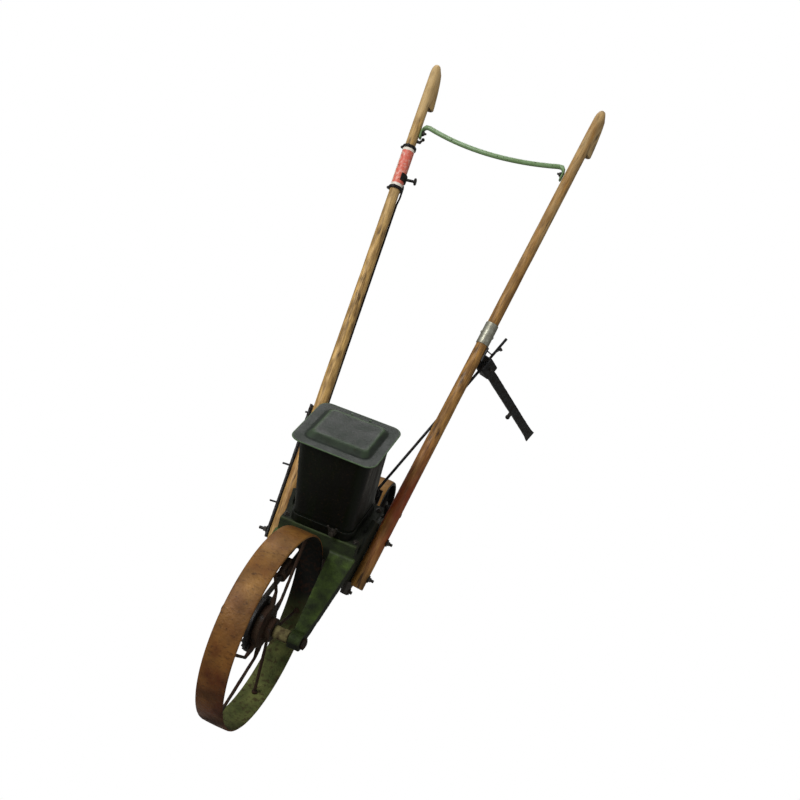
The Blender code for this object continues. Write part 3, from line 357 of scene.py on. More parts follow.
def varnished_ash(name, stain, varnish):
    """Ash pole under old amber varnish: fine grain along it, dark worn streaks, bare grey wood near the grip."""
    c = colours()
    material, tree, shader, _ = start_material(name, 0.55, gloss=0.3)
    place = node(tree, "Attribute", attribute_name="pole_place").outputs["Vector"]
    along = node(tree, "SeparateXYZ", {"Vector": place}).outputs["Z"]
    grain = blotches(tree, place, sizes().grain_width, 0.35, 0.65, 4.0, (1, 1, 0.045))
    broad = blotches(tree, place, 0.01, 0.4, 0.62, 8.0, (1, 1, 0.25))
    base = mixed(tree, clamped(tree, "MULTIPLY", grain, 0.6), varnish, c.wood_umber)
    streaked = mixed(tree, clamped(tree, "MULTIPLY", broad, 0.6), base, c.wood_umber)
    high_up = node(tree, "MapRange", {"Value": along, "From Min": 0.62, "From Max": 1.1}).outputs["Result"]
    bare = clamped(tree, "MULTIPLY", high_up, blotches(tree, place, 0.02, 0.35, 0.6, 5.0, (1, 1, 0.2)))
    greyed = mixed(tree, bare, streaked, c.wood_bare)
    rise = node(tree, "MapRange", {"Value": along, "From Min": 0.03, "From Max": 0.13}).outputs["Result"]
    fall = node(tree, "MapRange", {"Value": along, "From Min": 0.36, "From Max": 0.2}).outputs["Result"]
    zone = clamped(tree, "MULTIPLY", clamped(tree, "MULTIPLY", rise, fall), stain)
    red = clamped(tree, "MULTIPLY", zone, blotches(tree, place, 0.025, 0.28, 0.55, 5.0, (1, 1, 0.25)))
    stained = mixed(tree, red, greyed, c.wood_red)
    dark = blotches(tree, place, 0.005, 0.52, 0.68, 8.0, (1, 1, 0.16))
    dark = clamped(tree, "MULTIPLY", dark, blotches(tree, place, 0.03, 0.4, 0.6, 5.0, (1, 1, 0.3)))
    speckled = mixed(tree, clamped(tree, "MULTIPLY", dark, 0.85), stained, c.rust_dark)
    paint(tree, shader, speckled, between(tree, broad, 0.42, 0.68))
    relief(tree, shader, grain, 0.0003, 0.6)
    return material


def end_grain():
    """Sawn end of a pole: growth rings, dark with age and soil."""
    c = colours()
    material, tree, shader, _ = start_material("ash end grain", 0.8)
    place = node(tree, "Attribute", attribute_name="pole_place").outputs["Vector"]
    shifted = node(tree, "Mapping", {"Vector": place, "Location": (0.011, 0.006, 0)}).outputs["Vector"]
    rings = node(tree, "TexWave", {"Vector": shifted, "Scale": 120.0, "Distortion": 2.0}, wave_type="RINGS",
                 rings_direction="Z").outputs["Fac"]
    base = mixed(tree, rings, c.wood_umber, c.wood_bare)
    paint(tree, shader, mixed(tree, blotches(tree, place, 0.006, 0.4, 0.6), base, c.rust_dark))
    return material


def black_iron():
    """Forged and cast iron under old black oil paint: brown dust in patches, grey metal on rubbed edges."""
    c = colours()
    material, tree, shader, place = start_material("black iron", 0.55, 0.2, 0.3)
    dust = blotches(tree, place, 0.01, 0.5, 0.68)
    base = mixed(tree, clamped(tree, "MULTIPLY", dust, 0.55), c.black_iron, c.rust)
    edges = clamped(tree, "MULTIPLY", rubbed(tree, 0.53, 0.62), 0.4)
    paint(tree, shader, mixed(tree, edges, base, c.bright_iron), between(tree, dust, 0.42, 0.8))
    relief(tree, shader, blotches(tree, place, 0.002, 0.3, 0.7, 3.0), 0.0003, 0.8)
    return material


def rusty_iron():
    """Bare cast iron with brown rust all over, tan where it is dry, dark where oil has crept."""
    c = colours()
    material, tree, shader, place = start_material("rusty cast iron", 0.8, 0.1, 0.25)
    dry = blotches(tree, place, 0.012, 0.38, 0.62)
    base = mixed(tree, dry, c.rust_dark, c.rust)
    oily = blotches(tree, place, 0.02, 0.5, 0.62)
    dark = mixed(tree, clamped(tree, "MULTIPLY", oily, 0.7), base, c.grime_and_shade)
    paint(tree, shader, mixed(tree, clamped(tree, "MULTIPLY", rubbed(tree), 0.3), dark, c.tread_brown),
          between(tree, oily, 0.85, 0.5))
    relief(tree, shader, blotches(tree, place, 0.0025, 0.3, 0.7, 3.0), 0.0005, 0.9)
    return material


def dusty_sleeve():
    """Rusty sleeve caked with dry soil: olive tan dust over dark iron."""
    c = colours()
    material, tree, shader, place = start_material("dusty sleeve", 0.85, gloss=0.2)
    caked = blotches(tree, place, 0.012, 0.3, 0.55, 8.0)
    paint(tree, shader, mixed(tree, caked, c.rust_dark, c.sleeve_dust))
    relief(tree, shader, caked, 0.0004, 0.8)
    return material


def galvanised_sheet():
    """Bent zinc-coated sheet: dull grey clouds, brown dirt in patches, light catching the folds."""
    c = colours()
    material, tree, shader, place = start_material("galvanised sheet", 0.42, 0.75)
    cloudy = blotches(tree, place, 0.012, 0.2, 0.8)
    darkened = mixed(tree, clamped(tree, "MULTIPLY", blotches(tree, place, 0.009, 0.55, 0.75), 0.45),
                  mixed(tree, cloudy, c.zinc, c.zinc_dull), c.rust)
    paint(tree, shader, darkened, between(tree, cloudy, 0.34, 0.55))
    relief(tree, shader, blotches(tree, place, 0.004, 0.3, 0.7), 0.0003, 0.6)
    return material


def sage_paint():
    """Pale green paint on the brace rod, chipped to dark iron in small spots."""
    c = colours()
    material, tree, shader, place = start_material("sage brace paint", 0.45)
    chips = blotches(tree, place, 0.005, 0.64, 0.68)
    faded = clamped(tree, "MULTIPLY", blotches(tree, place, 0.012, 0.35, 0.75), 0.45)
    base = mixed(tree, faded, c.brace_sage, c.moss)
    paint(tree, shader, mixed(tree, clamped(tree, "MULTIPLY", chips, 0.85), base, c.black_iron), between(tree, chips, 0.4, 0.7))
    relief(tree, shader, chips, -0.0003)
    return material


def index_enamel():
    """Red enamel on the index plate inside a plain white border, scuffed and brown at the chips. It is blank."""
    c = colours()
    material, tree, shader, place = start_material("red index enamel", 0.4)
    across = node(tree, "SeparateXYZ", {"Vector": node(tree, "UVMap").outputs["UV"]})
    edge = clamped(tree, "MINIMUM", across.outputs["X"], clamped(tree, "SUBTRACT", 1.0, across.outputs["X"]))
    end = clamped(tree, "MINIMUM", across.outputs["Y"], clamped(tree, "SUBTRACT", 1.0, across.outputs["Y"]))
    near = clamped(tree, "MINIMUM", clamped(tree, "MULTIPLY", edge, 0.6), end)
    inside = clamped(tree, "GREATER_THAN", near, 0.07)
    base = mixed(tree, inside, c.plate_white, c.plate_red)
    scuffs = mixed(tree, clamped(tree, "MULTIPLY", blotches(tree, place, 0.006, 0.48, 0.7), 0.45), base, c.plate_white)
    chips = clamped(tree, "MULTIPLY", blotches(tree, place, 0.003, 0.63, 0.66), 0.85)
    paint(tree, shader, mixed(tree, chips, scuffs, c.rust_dark))
    return material


def floor_paper():
    """Matt pale paper, blown out to plain white where it is seen, quiet where it lights the machine from below."""
    c = colours()
    material, tree, shader, place = start_material("pale paper floor", 0.95)
    faint = clamped(tree, "MULTIPLY", blotches(tree, place, 0.6, 0.3, 0.7), 0.1)
    paint(tree, shader, mixed(tree, faint, c.floor_shade, c.zinc))
    white = node(tree, "Emission", {"Color": c.floor, "Strength": 1.0})
    seen = node(tree, "LightPath").outputs["Is Camera Ray"]
    pick = node(tree, "MixShader", {0: seen, 1: shader.outputs[0], 2: white.outputs[0]})
    tree.links.new(pick.outputs[0], tree.nodes["Material Output"].inputs["Surface"])
    return material


MAKERS = {
    # The two numbers are the heights over which a tread turns from brown below to tan above.
    "tread_steel": lambda: rusty_tread("rusty tread steel", 0.13, 0.5),
    "press_steel": lambda: rusty_tread("rusty press wheel steel", -0.1, 0.15),
    "band_paint": worn_band_paint_and_shade,
    "green_paint": worn_casting_paint_and_shade,
    "dark_green_paint": dark_hopper_paint,
    "lid_paint": lid_paint,
    "varnished_wood": lambda: varnished_ash("varnished ash", 0.25, colours().wood_pale),
    "stained_wood": lambda: varnished_ash("varnished ash, red-stained", 1.0, colours().wood_honey),
    "end_grain": end_grain,
    "black_iron": black_iron,
    "rusty_iron": rusty_iron,
    "dusty_sleeve": dusty_sleeve,
    "galvanised_sleeve": galvanised_sheet,
    "brace_paint": sage_paint,
    "index_plate_paint": index_enamel,
    "floor": floor_paper,
}
MADE = {}


def material_of(key):
    """The material for a key, made once."""
    if key not in MADE:
        MADE[key] = MAKERS[key]()
    return MADE[key]


# ---------------------------------------------------------------- mesh tools

def place_piece(name, mesh, body, slot_name, replaced=(), materials=None):
    """Links a finished mesh, gives it its materials (the slot's key when none are listed), parents it to its body's
    empty and hides the CAD nodes it replaces.
    """
    thing = bpy.data.objects.new(name, mesh)
    bpy.context.scene.collection.objects.link(thing)
    if not mesh.materials:
        for key in materials or [slot_name]:
            mesh.materials.append(material_of(key))
    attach(thing, body)
    if replaced:
        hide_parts(*replaced)
    return thing


def evaluated(thing):
    """The thing's mesh with its modifiers applied; the thing itself goes."""
    graph = bpy.context.evaluated_depsgraph_get()
    mesh = bpy.data.meshes.new_from_object(thing.evaluated_get(graph))
    bpy.data.objects.remove(thing)
    return mesh


def roughen(mesh, depth, size):
    """Presses smooth hollows up to `depth` metres into a surface."""
    normals = [vertex.normal.copy() for vertex in mesh.vertices]
    for vertex, normal in zip(mesh.vertices, normals):
        amount = noise.noise(vertex.co / size) + 0.4 * noise.noise(vertex.co / size * 3)
        vertex.co -= normal * depth * max(0.0, min(1.0, 0.5 + 0.5 * amount))
    mesh.update()


def cast_copy(node_name, grain, unevenness=0.0003, soften=3):
    """A CAD node's shape as a fine even mesh with softened edges and a slightly lumpy face."""
    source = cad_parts[node_name].data
    bm = bmesh.new()
    bm.from_mesh(source)
    bmesh.ops.remove_doubles(bm, verts=bm.verts, dist=1e-5)
    mesh = bpy.data.meshes.new(node_name + "_worn")
    bm.to_mesh(mesh)
    bm.free()
    thing = bpy.data.objects.new(node_name + "_worn", mesh)
    bpy.context.scene.collection.objects.link(thing)
    voxels = thing.modifiers.new("Even mesh", "REMESH")
    voxels.mode = "VOXEL"
    voxels.voxel_size = grain
    voxels.use_smooth_shade = True
    if soften:
        smooth = thing.modifiers.new("Softened edges", "SMOOTH")
        smooth.factor = 0.5
        smooth.iterations = soften
    mesh = evaluated(thing)
    roughen(mesh, unevenness, grain * 12)
    return mesh


def wear_node(node_name, body, slot_name, grain=None, unevenness=0.0003, soften=3):
    """Replaces one CAD node with its worn copy."""
    mesh = cast_copy(node_name, grain or sizes().fitting_voxel, unevenness, soften)
    return place_piece(node_name + "_worn", mesh, body, slot_name, [node_name])


def loft(name, rings, closed=False):
    """A mesh through rings of points, capped unless it closes on itself."""
    bm = bmesh.new()
    loops = [[bm.verts.new(point) for point in ring] for ring in rings]
    pairs = list(zip(loops, loops[1:]))
    if closed:
        pairs.append((loops[-1], loops[0]))
    for low, high in pairs:
        for i in range(len(low)):
            j = (i + 1) % len(low)
            bm.faces.new((low[i], low[j], high[j], high[i]))
    if not closed:
        bm.faces.new(loops[0][::-1])
        bm.faces.new(loops[-1])
    return settle(name, bm)


def settle(name, bm):
    """A smooth-shaded mesh from a bmesh, its normals outwards, edges over 40 degrees sharp."""
    bmesh.ops.recalc_face_normals(bm, faces=bm.faces)
    mesh = bpy.data.meshes.new(name)
    bm.to_mesh(mesh)
    bm.free()
    mesh.shade_smooth()
    mesh.set_sharp_from_angle(angle=radians(40))
    return mesh


def wheel_mesh(name, centre, profile, sides, ripple):
    """A turned ring about the sideways axis; profile is (sideways, radius); ripple(angle, sideways) presses in."""
    rings = []
    for i in range(sides):
        angle = 2 * pi * i / sides
        outwards = Vector((0, cos(angle), sin(angle)))
        rings.append([centre + Vector((x, 0, 0)) + outwards * (radius - ripple(angle, x)) for x, radius in profile])
    return loft(name, rings, closed=True)


def rounded_rectangle(width, length, corner, centre, height, steps=12):
    """A rectangle with round corners about a middle point."""
    points = []
    for quarter, (sx, sy) in enumerate([(1, 1), (-1, 1), (-1, -1), (1, -1)]):
        for step in range(steps + 1):
            angle = (quarter + step / steps) * pi / 2
            x = sx * (width / 2 - corner) + corner * cos(angle)
            y = sy * (length / 2 - corner) + corner * sin(angle)
            points.append(Vector((centre.x + x, centre.y + y, height)))
    return points


def even_sides(points, count=160):
    """The same outline with points spread evenly round it."""
    loop = points + points[:1]
    lengths = [(b - a).length for a, b in zip(loop, loop[1:])]
    total, spread, index, passed = sum(lengths), [], 0, 0.0
    for i in range(count):
        target = total * i / count
        while passed + lengths[index] < target:
            passed += lengths[index]
            index += 1
        share = (target - passed) / lengths[index] if lengths[index] else 0
        spread.append(loop[index].lerp(loop[index + 1], share))
    return spread


def cylinder(bm, start, end, radius, sides, top_radius=None):
    """Adds a capped cylinder, or a cone, between two points."""
    axis = (end - start).normalized()
    u = axis.orthogonal().normalized()
    v = axis.cross(u)
    loops = []
    for centre, size in ((start, radius), (end, radius if top_radius is None else top_radius)):
        ring = [centre + size * (cos(2 * pi * i / sides) * u + sin(2 * pi * i / sides) * v) for i in range(sides)]
        loops.append([bm.verts.new(point) for point in ring])
    for i in range(sides):
        j = (i + 1) % sides
        bm.faces.new((loops[0][i], loops[0][j], loops[1][j], loops[1][i]))
    bm.faces.new(loops[0][::-1])
    bm.faces.new(loops[1])


# ---------------------------------------------------------------- repeated fittings

def fastener_tree(name, key):
    """Geometry Nodes: a washer, a head of any number of sides and a shank at every point, turned to its axis."""
    tree = bpy.data.node_groups.new(name, "GeometryNodeTree")
    face = tree.interface
    face.new_socket("Geometry", in_out="INPUT", socket_type="NodeSocketGeometry")
    for label, kind, default in (("Head width", "NodeSocketFloat", 0.012), ("Head height", "NodeSocketFloat", 0.005),
                                 ("Sides", "NodeSocketInt", 4), ("Shank width", "NodeSocketFloat", 0.006),
                                 ("Shank length", "NodeSocketFloat", 0.009)):
        face.new_socket(label, in_out="INPUT", socket_type=kind).default_value = default
    face.new_socket("Geometry", in_out="OUTPUT", socket_type="NodeSocketGeometry")
    into, out = tree.nodes.new("NodeGroupInput"), tree.nodes.new("NodeGroupOutput")

    def made(kind, links, **settings):
        fresh = tree.nodes.new(kind)
        for label, value in settings.items():
            setattr(fresh, label, value)
        for label, value in links.items():
            if isinstance(value, bpy.types.NodeSocket):
                tree.links.new(value, fresh.inputs[label])
            else:
                fresh.inputs[label].default_value = value
        return fresh

    def lathe(sides, width, height, lift):
        radius = made("ShaderNodeMath", {0: width, 1: 0.5}, operation="MULTIPLY").outputs[0]
        body = made("GeometryNodeMeshCylinder", {"Vertices": sides, "Radius": radius, "Depth": height})
        rise = made("ShaderNodeMath", {0: height, 1: lift}, operation="MULTIPLY").outputs[0]
        up = made("ShaderNodeCombineXYZ", {"Z": rise}).outputs[0]
        return made("GeometryNodeTransform", {"Geometry": body.outputs["Mesh"], "Translation": up}).outputs[0]

    washer_width = made("ShaderNodeMath", {0: into.outputs["Head width"], 1: 1.25}, operation="MULTIPLY").outputs[0]
    washer = lathe(28, washer_width, 0.0016, 0.5)
    head = lathe(into.outputs["Sides"], into.outputs["Head width"], into.outputs["Head height"], 0.5)
    shank = lathe(14, into.outputs["Shank width"], into.outputs["Shank length"], 0.5)
    joined = tree.nodes.new("GeometryNodeJoinGeometry")
    for piece in (washer, head, shank):
        tree.links.new(piece, joined.inputs["Geometry"])
    axis = made("GeometryNodeInputNamedAttribute", {"Name": "axis"}, data_type="FLOAT_VECTOR").outputs[0]
    turn = made("FunctionNodeAlignRotationToVector", {"Vector": axis}, axis="Z").outputs[0]
    spots = made("GeometryNodeMeshToPoints", {"Mesh": into.outputs["Geometry"]}).outputs[0]
    copies = made("GeometryNodeInstanceOnPoints", {"Points": spots, "Instance": joined.outputs[0], "Rotation": turn})
    real = made("GeometryNodeRealizeInstances", {"Geometry": copies.outputs[0]}).outputs[0]
    finish = made("GeometryNodeSetMaterial", {"Geometry": real, "Material": material_of(key)})
    tree.links.new(finish.outputs[0], out.inputs[0])
    return tree


def fasteners(name, spots, values, key="black_iron", body="frame"):
    """One mesh of like fasteners; spots is a list of (place, direction), values the tree's inputs by name."""
    mesh = bpy.data.meshes.new(name)
    mesh.from_pydata([place for place, _ in spots], [], [])
    axes = mesh.attributes.new("axis", "FLOAT_VECTOR", "POINT")
    for item, (_, direction) in zip(axes.data, spots):
        item.vector = direction
    thing = bpy.data.objects.new(name, mesh)
    bpy.context.scene.collection.objects.link(thing)
    tree = fastener_tree(name + " tree", key)
    modifier = thing.modifiers.new("Fasteners", "NODES")
    modifier.node_group = tree
    for item in tree.interface.items_tree:
        if item.in_out == "INPUT" and item.name in values:
            modifier[item.identifier] = values[item.name]
    done = evaluated(thing)
    bm = bmesh.new()
    bm.from_mesh(done)
    bmesh.ops.bevel(bm, geom=bm.edges[:], offset=0.0003, segments=1, affect="EDGES")
    finished = settle(name, bm)
    finished.materials.clear()
    finished.materials.append(material_of(key))
    return place_piece(name, finished, body, key)


# ---------------------------------------------------------------- pieces

class PieceOperator(bpy.types.Operator):
    """Shared settings of the operators that make the drill's pieces"""
    bl_idname = "seed_drill.piece"
    bl_label = "Piece"
    bl_options = {"REGISTER", "UNDO"}

    def execute(self, context):
        self.make()
        return {"FINISHED"}

    def make(self):
        raise NotImplementedError("each piece has its own make()")


class FrontWheel(PieceOperator):
    """Makes the crowned steel band, the spoked hub and the axle with its nuts"""
    bl_idname = "seed_drill.front_wheel"
    bl_label = "Front Wheel"

    def make(self):
        low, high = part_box("front_rim")
        half, outer = (high.x - low.x) / 2, (high.z - low.z) / 2
        inner = outer - 0.005
        crown, wave = sizes().band_crown, sizes().band_waviness
        profile = []
        for share in (-1, -0.97, -0.9, -0.6, -0.3, 0, 0.3, 0.6, 0.9, 0.97, 1):
            drop = 0.0014 if abs(share) == 1 else 0.0004 if abs(share) == 0.97 else 0.0
            profile.append((share * half, outer - drop - crown * share * share))
        for share in (1, 0.96, 0.85, 0.4, 0, -0.4, -0.85, -0.96, -1):
            lift = 0.0012 if abs(share) == 1 else 0.0003 if abs(share) == 0.96 else 0.0
            profile.append((share * half, inner + lift))

        def ripple(angle, x):
            spot = Vector((3 * cos(angle), 3 * sin(angle), x * 40))
            return wave * (0.5 + 0.5 * noise.noise(spot)) + 0.25 * wave * (1 + noise.noise(spot * 5))

        mesh = wheel_mesh("front_band", FRONT_HUB, profile, sizes().band_segments, ripple)
        mesh.materials.append(material_of("tread_steel"))
        mesh.materials.append(material_of("band_paint"))
        for polygon in mesh.polygons:
            offset = polygon.center - FRONT_HUB
            if offset.dot(polygon.normal) < 0 and abs(polygon.normal.x) < 0.7:
                polygon.material_index = 1
        place_piece("front_band", mesh, "front_wheel", "tread_steel", ["front_rim"])
        wear_node("front_hub", "front_wheel", "rusty_iron", 0.0012, 0.0007, 2)
        wear_node("drive_gear", "front_wheel", "black_iron", 0.0009, 0.0002, 2)
        wear_node("front_axle", "frame", "rusty_iron", 0.0009, 0.0003, 2)
        for name in ("axle_spacer_left", "axle_spacer_right"):
            mesh = cast_copy(name, 0.0009, 0.0008, 3)
            place_piece(name + "_worn", mesh, "frame", "rusty_iron", [name], ["dusty_sleeve"])


class FeedDrive(PieceOperator):
    """Makes the drive shaft with its toothed pinion, and the bearing that carries it"""
    bl_idname = "seed_drill.feed_drive"
    bl_label = "Feed Drive"

    def make(self):
        low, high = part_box("drive_shaft")
        radius = (high.x - low.x) / 2
        centre = Vector(((low.x + high.x) / 2, 0, (low.z + high.z) / 2))
        mesh_start = FRONT_HUB.y + 0.0545
        teeth, sides = 9, 72
        bm = bmesh.new()
        cylinder(bm, centre + Vector((0, low.y, 0)), centre + Vector((0, high.y, 0)), 0.005, 24)
        rings = []
        for y in (low.y + 0.0022, low.y + 0.003, mesh_start - 0.0015, mesh_start):
            trim = 0.0008 if y in (low.y + 0.0022, mesh_start) else 0
            ring = []
            for i in range(sides):
                angle = 2 * pi * i / sides
                tooth = max(0.0, min(1.0, 0.5 + 1.4 * cos(teeth * angle)))
                size = radius - trim - 0.0042 * (1 - tooth)
                ring.append(bm.verts.new(centre + Vector((size * cos(angle), y, size * sin(angle)))))
            rings.append(ring)
        for first, second in zip(rings, rings[1:]):
            for i in range(sides):
                j = (i + 1) % sides
                bm.faces.new((first[i], first[j], second[j], second[i]))
        bm.faces.new(rings[0][::-1])
        bm.faces.new(rings[-1])
        place_piece("drive_shaft_toothed", settle("drive_shaft_toothed", bm), "drive_shaft", "black_iron", ["drive_shaft"])
        wear_node("shaft_bearing", "frame", "rusty_iron", 0.0008, 0.0003, 2)


class FrameCasting(PieceOperator):
    """Makes the frame casting, softened and lumpy as it comes from the sand"""
    bl_idname = "seed_drill.frame_casting"
    bl_label = "Frame Casting"

    def make(self):
        wear_node("frame_casting", "frame", "green_paint", sizes().casting_voxel, 0.0007, 4)


class FeedAndOpener(PieceOperator):
    """Makes the feed base and housing, the seed tube, the opener and the coverers"""
    bl_idname = "seed_drill.feed_and_opener"
    bl_label = "Feed and Opener"

    def make(self):
        for name, slot_name, grain in (("feed_base", "dark_green_paint", 0.0013), ("feed_housing", "dark_green_paint", 0.0016),
                                       ("seed_tube", "black_iron", 0.0011), ("opener_shoe", "rusty_iron", 0.0011),
                                       ("coverer_left", "black_iron", 0.0011), ("coverer_right", "black_iron", 0.0011)):
            wear_node(name, "frame", slot_name, grain, 0.0005, 2)


class Hopper(PieceOperator):
    """Makes the sheet hopper: thin dented walls, a rolled rim, a base bead and an open outlet in its floor"""
    bl_idname = "seed_drill.hopper"
    bl_label = "Hopper"

    def make(self):
        low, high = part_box("hopper")
        centre = (low + high) / 2
        top_width, length = high.x - low.x, high.y - low.y
        foot_width = top_width - 0.019
        wall, corner, outlet, floor = 0.0016, 0.02, 0.016, 0.003
        dent = sizes().dent_depth

        def outline(share, inset):
            width = foot_width + (top_width - foot_width) * share
            height = low.z + (high.z - low.z) * share
            points = rounded_rectangle(width - 2 * inset, length - 2 * inset, corner - inset, centre, height)
            shaped = []
            for point in even_sides(points):
                inwards = Vector((centre.x - point.x, centre.y - point.y, 0)).normalized()
                bulge = max(0.0, sin(pi * share)) * (0.5 + 0.5 * noise.noise(point / 0.035))
                shaped.append(point + inwards * dent * bulge)
            return shaped

        levels = [0, 0.012, 0.03, 0.045, 0.06] + [0.06 + 0.9 * i / 26 for i in range(1, 27)]
        bead = {0.03: -0.0, 0.045: 0.0}
        rings = [outline(share, bead.get(share, 0.0006)) for share in levels]
        rings += [outline(0.975, 0.0002), outline(0.988, 0.0), outline(0.997, 0.0003), outline(1.0, 0.0009),
                  outline(0.998, 0.0019), outline(0.985, 0.0023)]
        rings += [outline(share, wall + 0.0006) for share in (0.9, 0.6, 0.3, 0.06)]
        rings.append(outline(floor / (high.z - low.z), wall + 0.003))
        for height in (low.z + floor, low.z):
            circle = []
            for point in rings[0]:
                away = Vector((point.x - centre.x, point.y - centre.y, 0)).normalized() * outlet
                circle.append(Vector((centre.x + away.x, centre.y + away.y, height)))
            rings.append(circle)
        place_piece("hopper_sheet", loft("hopper_sheet", rings, closed=True), "frame", "dark_green_paint", ["hopper"])


class HopperLid(PieceOperator):
    """Makes the pressed lid: rolled flange, bevelled raised panel, shallow dents, and its hinge knuckle"""
    bl_idname = "seed_drill.hopper_lid"
    bl_label = "Hopper Lid"

    def make(self):
        hopper_low, hopper_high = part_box("hopper")
        low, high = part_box("hopper_lid")
        width, length = high.x - low.x, high.y - low.y
        centre = Vector(((low.x + high.x) / 2, (low.y + high.y) / 2, 0))
        under = hopper_high.z + 0.0003
        sheet = 0.002
        # inset from the lid's edge, height of the upper face over the flange's underside, corner radius
        upper = [(0.0, 0.0009, 0.022), (0.0003, 0.0017, 0.0217), (0.0011, 0.0021, 0.021), (0.003, 0.002, 0.019),
                 (0.018, 0.0016, 0.016), (0.0205, 0.0021, 0.015), (0.0225, 0.0034, 0.014), (0.029, 0.0074, 0.011),
                 (0.031, 0.0086, 0.0095), (0.033, 0.009, 0.0085), (0.038, 0.0088, 0.007)]
        dent = sizes().dent_depth

        def ring(inset, height, corner, sink=1.0):
            points = rounded_rectangle(width - 2 * inset, length - 2 * inset, max(corner, 0.002), centre, under + height)
            points = even_sides(points)
            for point in points:
                point.y += 0.007 * max(0.0, min(1.0, (inset - 0.0225) / 0.01))
                point.z -= sink * dent * max(0.0, noise.noise(point / 0.03) + 0.1) * min(1.0, inset / 0.03)
            return points

        rings = [ring(*row) for row in upper]
        last = rings[-1]
        for share in (0.85, 0.7, 0.55, 0.4):
            shrunk = []
            for point in last:
                across, back = (point.x - centre.x) * share, (point.y - centre.y - 0.007) * share + 0.007
                spot = Vector((centre.x + across, centre.y + back, under + 0.0086))
                spot.z -= dent * max(0.0, noise.noise(spot / 0.03) + 0.1)
                shrunk.append(spot)
            rings.append(shrunk)
        lower = [ring(inset, max(0.0, height - sheet), corner, 0.0) for inset, height, corner in upper[3:]]
        first = [ring(0.0008, 0.0, 0.0212, 0.0)]
        bottom_share = 0.4
        flat = [Vector((centre.x + (p.x - centre.x) * bottom_share, centre.y + (p.y - centre.y) * bottom_share, under + 0.0066))
                for p in last]
        mesh = loft("hopper_lid_sheet", [flat] + lower[::-1] + first + rings)
        bm = bmesh.new()
        bm.from_mesh(mesh)
        hinge_low, hinge_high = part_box("lid_hinge")
        pin = Vector((centre.x, hinge_high.y - 0.0035, hinge_high.z - 0.0035))
        side = Vector((0.012, 0, 0))
        cylinder(bm, pin - side, pin + side, 0.0035, 24)
        for offset in (-0.0105, 0, 0.0105):
            spot = pin + Vector((offset * 0.9, 0, 0))
            cylinder(bm, spot, spot + Vector((0, 0, under - pin.z + 0.001)), 0.0018, 12)
        place_piece("hopper_lid_sheet", settle("hopper_lid_sheet", bm), "lid", "lid_paint", ["hopper_lid"])
        wear_node("lid_hinge", "frame", "black_iron", 0.0006, 0.0001, 2)


def pole_mesh(name, pole, side_count, keys):
    """A turned handle with its grip; every point keeps its own place along the pole for the grain."""
    grip = 1 - 0.112 / HANDLE_LENGTH
    # share of the length, extra depth of the grip under the pole, share of the pole's radius
    stations = [(0.0, 0.0, 0.95), (0.0012, 0.0, 1.0), (grip, 0.0, 1.0), (grip + 0.0007, 0.5, 1.0), (grip + 0.002, 0.8, 1.0),
                (grip + 0.004, 0.94, 1.0), (grip + 0.006, 1.0, 1.0), (grip + 0.014, 0.97, 1.0), (grip + 0.022, 0.92, 1.0),
                (grip + 0.04, 0.8, 1.0), (grip + 0.05, 0.71, 1.0), (grip + 0.06, 0.6, 1.0), (grip + 0.07, 0.47, 0.99),
                (grip + 0.078, 0.34, 0.97),
                (0.988, 0.12, 0.91), (0.991, 0.06, 0.85), (0.994, 0.02, 0.75), (0.997, 0.0, 0.62), (0.999, 0.0, 0.42),
                (1.0, 0.0, 0.2)]
    lean = (pole.side * sin(GRIP_LEAN), cos(GRIP_LEAN))
    shares = [0.0012 + (grip - 0.0012) * i / 110 for i in range(1, 110)]
    stations = stations[:2] + [(share, 0.0, 1.0) for share in shares] + stations[2:]
    rings, places = [], []
    for share, depth, narrow in stations:
        ring = []
        for i in range(side_count):
            angle = 2 * pi * i / side_count
            radius = pole_radius(share) * narrow
            spot = Vector((cos(angle), sin(angle), share * 22 + pole.side * 9))
            radius -= 0.0005 * max(0.0, noise.noise(spot * 1.4)) + 0.0002 * max(0.0, noise.noise(spot * 6))
            swell = depth * GRIP_DEPTH * max(0.0, cos(angle) * lean[0] + sin(angle) * lean[1])
            out = cos(angle) * radius + swell * lean[0]
            under = sin(angle) * radius + swell * lean[1]
            ring.append(pole.at(share, out, under))
            places.append((out, under, share * HANDLE_LENGTH + (3.0 if pole.side < 0 else 0.0)))
        rings.append(ring)
    mesh = loft(name, rings)
    stored = mesh.attributes.new("pole_place", "FLOAT_VECTOR", "POINT")
    for item, place in zip(stored.data, places):
        item.vector = place if pole.side > 0 else (place[0] + 0.3, place[1], place[2] - 3.0)
    for key in keys:
        mesh.materials.append(material_of(key))
    for polygon in mesh.polygons:
        if polygon.normal.dot(-pole.along) > 0.8:
            polygon.material_index = 1
    return mesh


def swept(name, path, sizes_at, pole, sides=20):
    """A rod along a path; each place has a thickness outwards and one along the pole."""
    rings = []
    for i, point in enumerate(path):
        tangent = (path[min(i + 1, len(path) - 1)] - path[max(i - 1, 0)]).normalized()
        u = (pole.under - tangent * pole.under.dot(tangent)).normalized()
        v = tangent.cross(u)
        wide, thin = sizes_at[i]
        rings.append([point + wide * cos(2 * pi * k / sides) * u + thin * sin(2 * pi * k / sides) * v for k in range(sides)])
    return loft(name, rings)


class Handles(PieceOperator):
    """Makes the two ash handles with their grips and sawn feet"""
    bl_idname = "seed_drill.handles"
    bl_label = "Handles"

    def make(self):
        for name, pole, key in (("handle_left", LEFT_POLE, "varnished_wood"), ("handle_right", RIGHT_POLE, "stained_wood")):
            mesh = pole_mesh(name + "_turned", pole, sizes().pole_sides, (key, "end_grain"))
            place_piece(name + "_turned", mesh, "frame", "varnished_wood", [name])


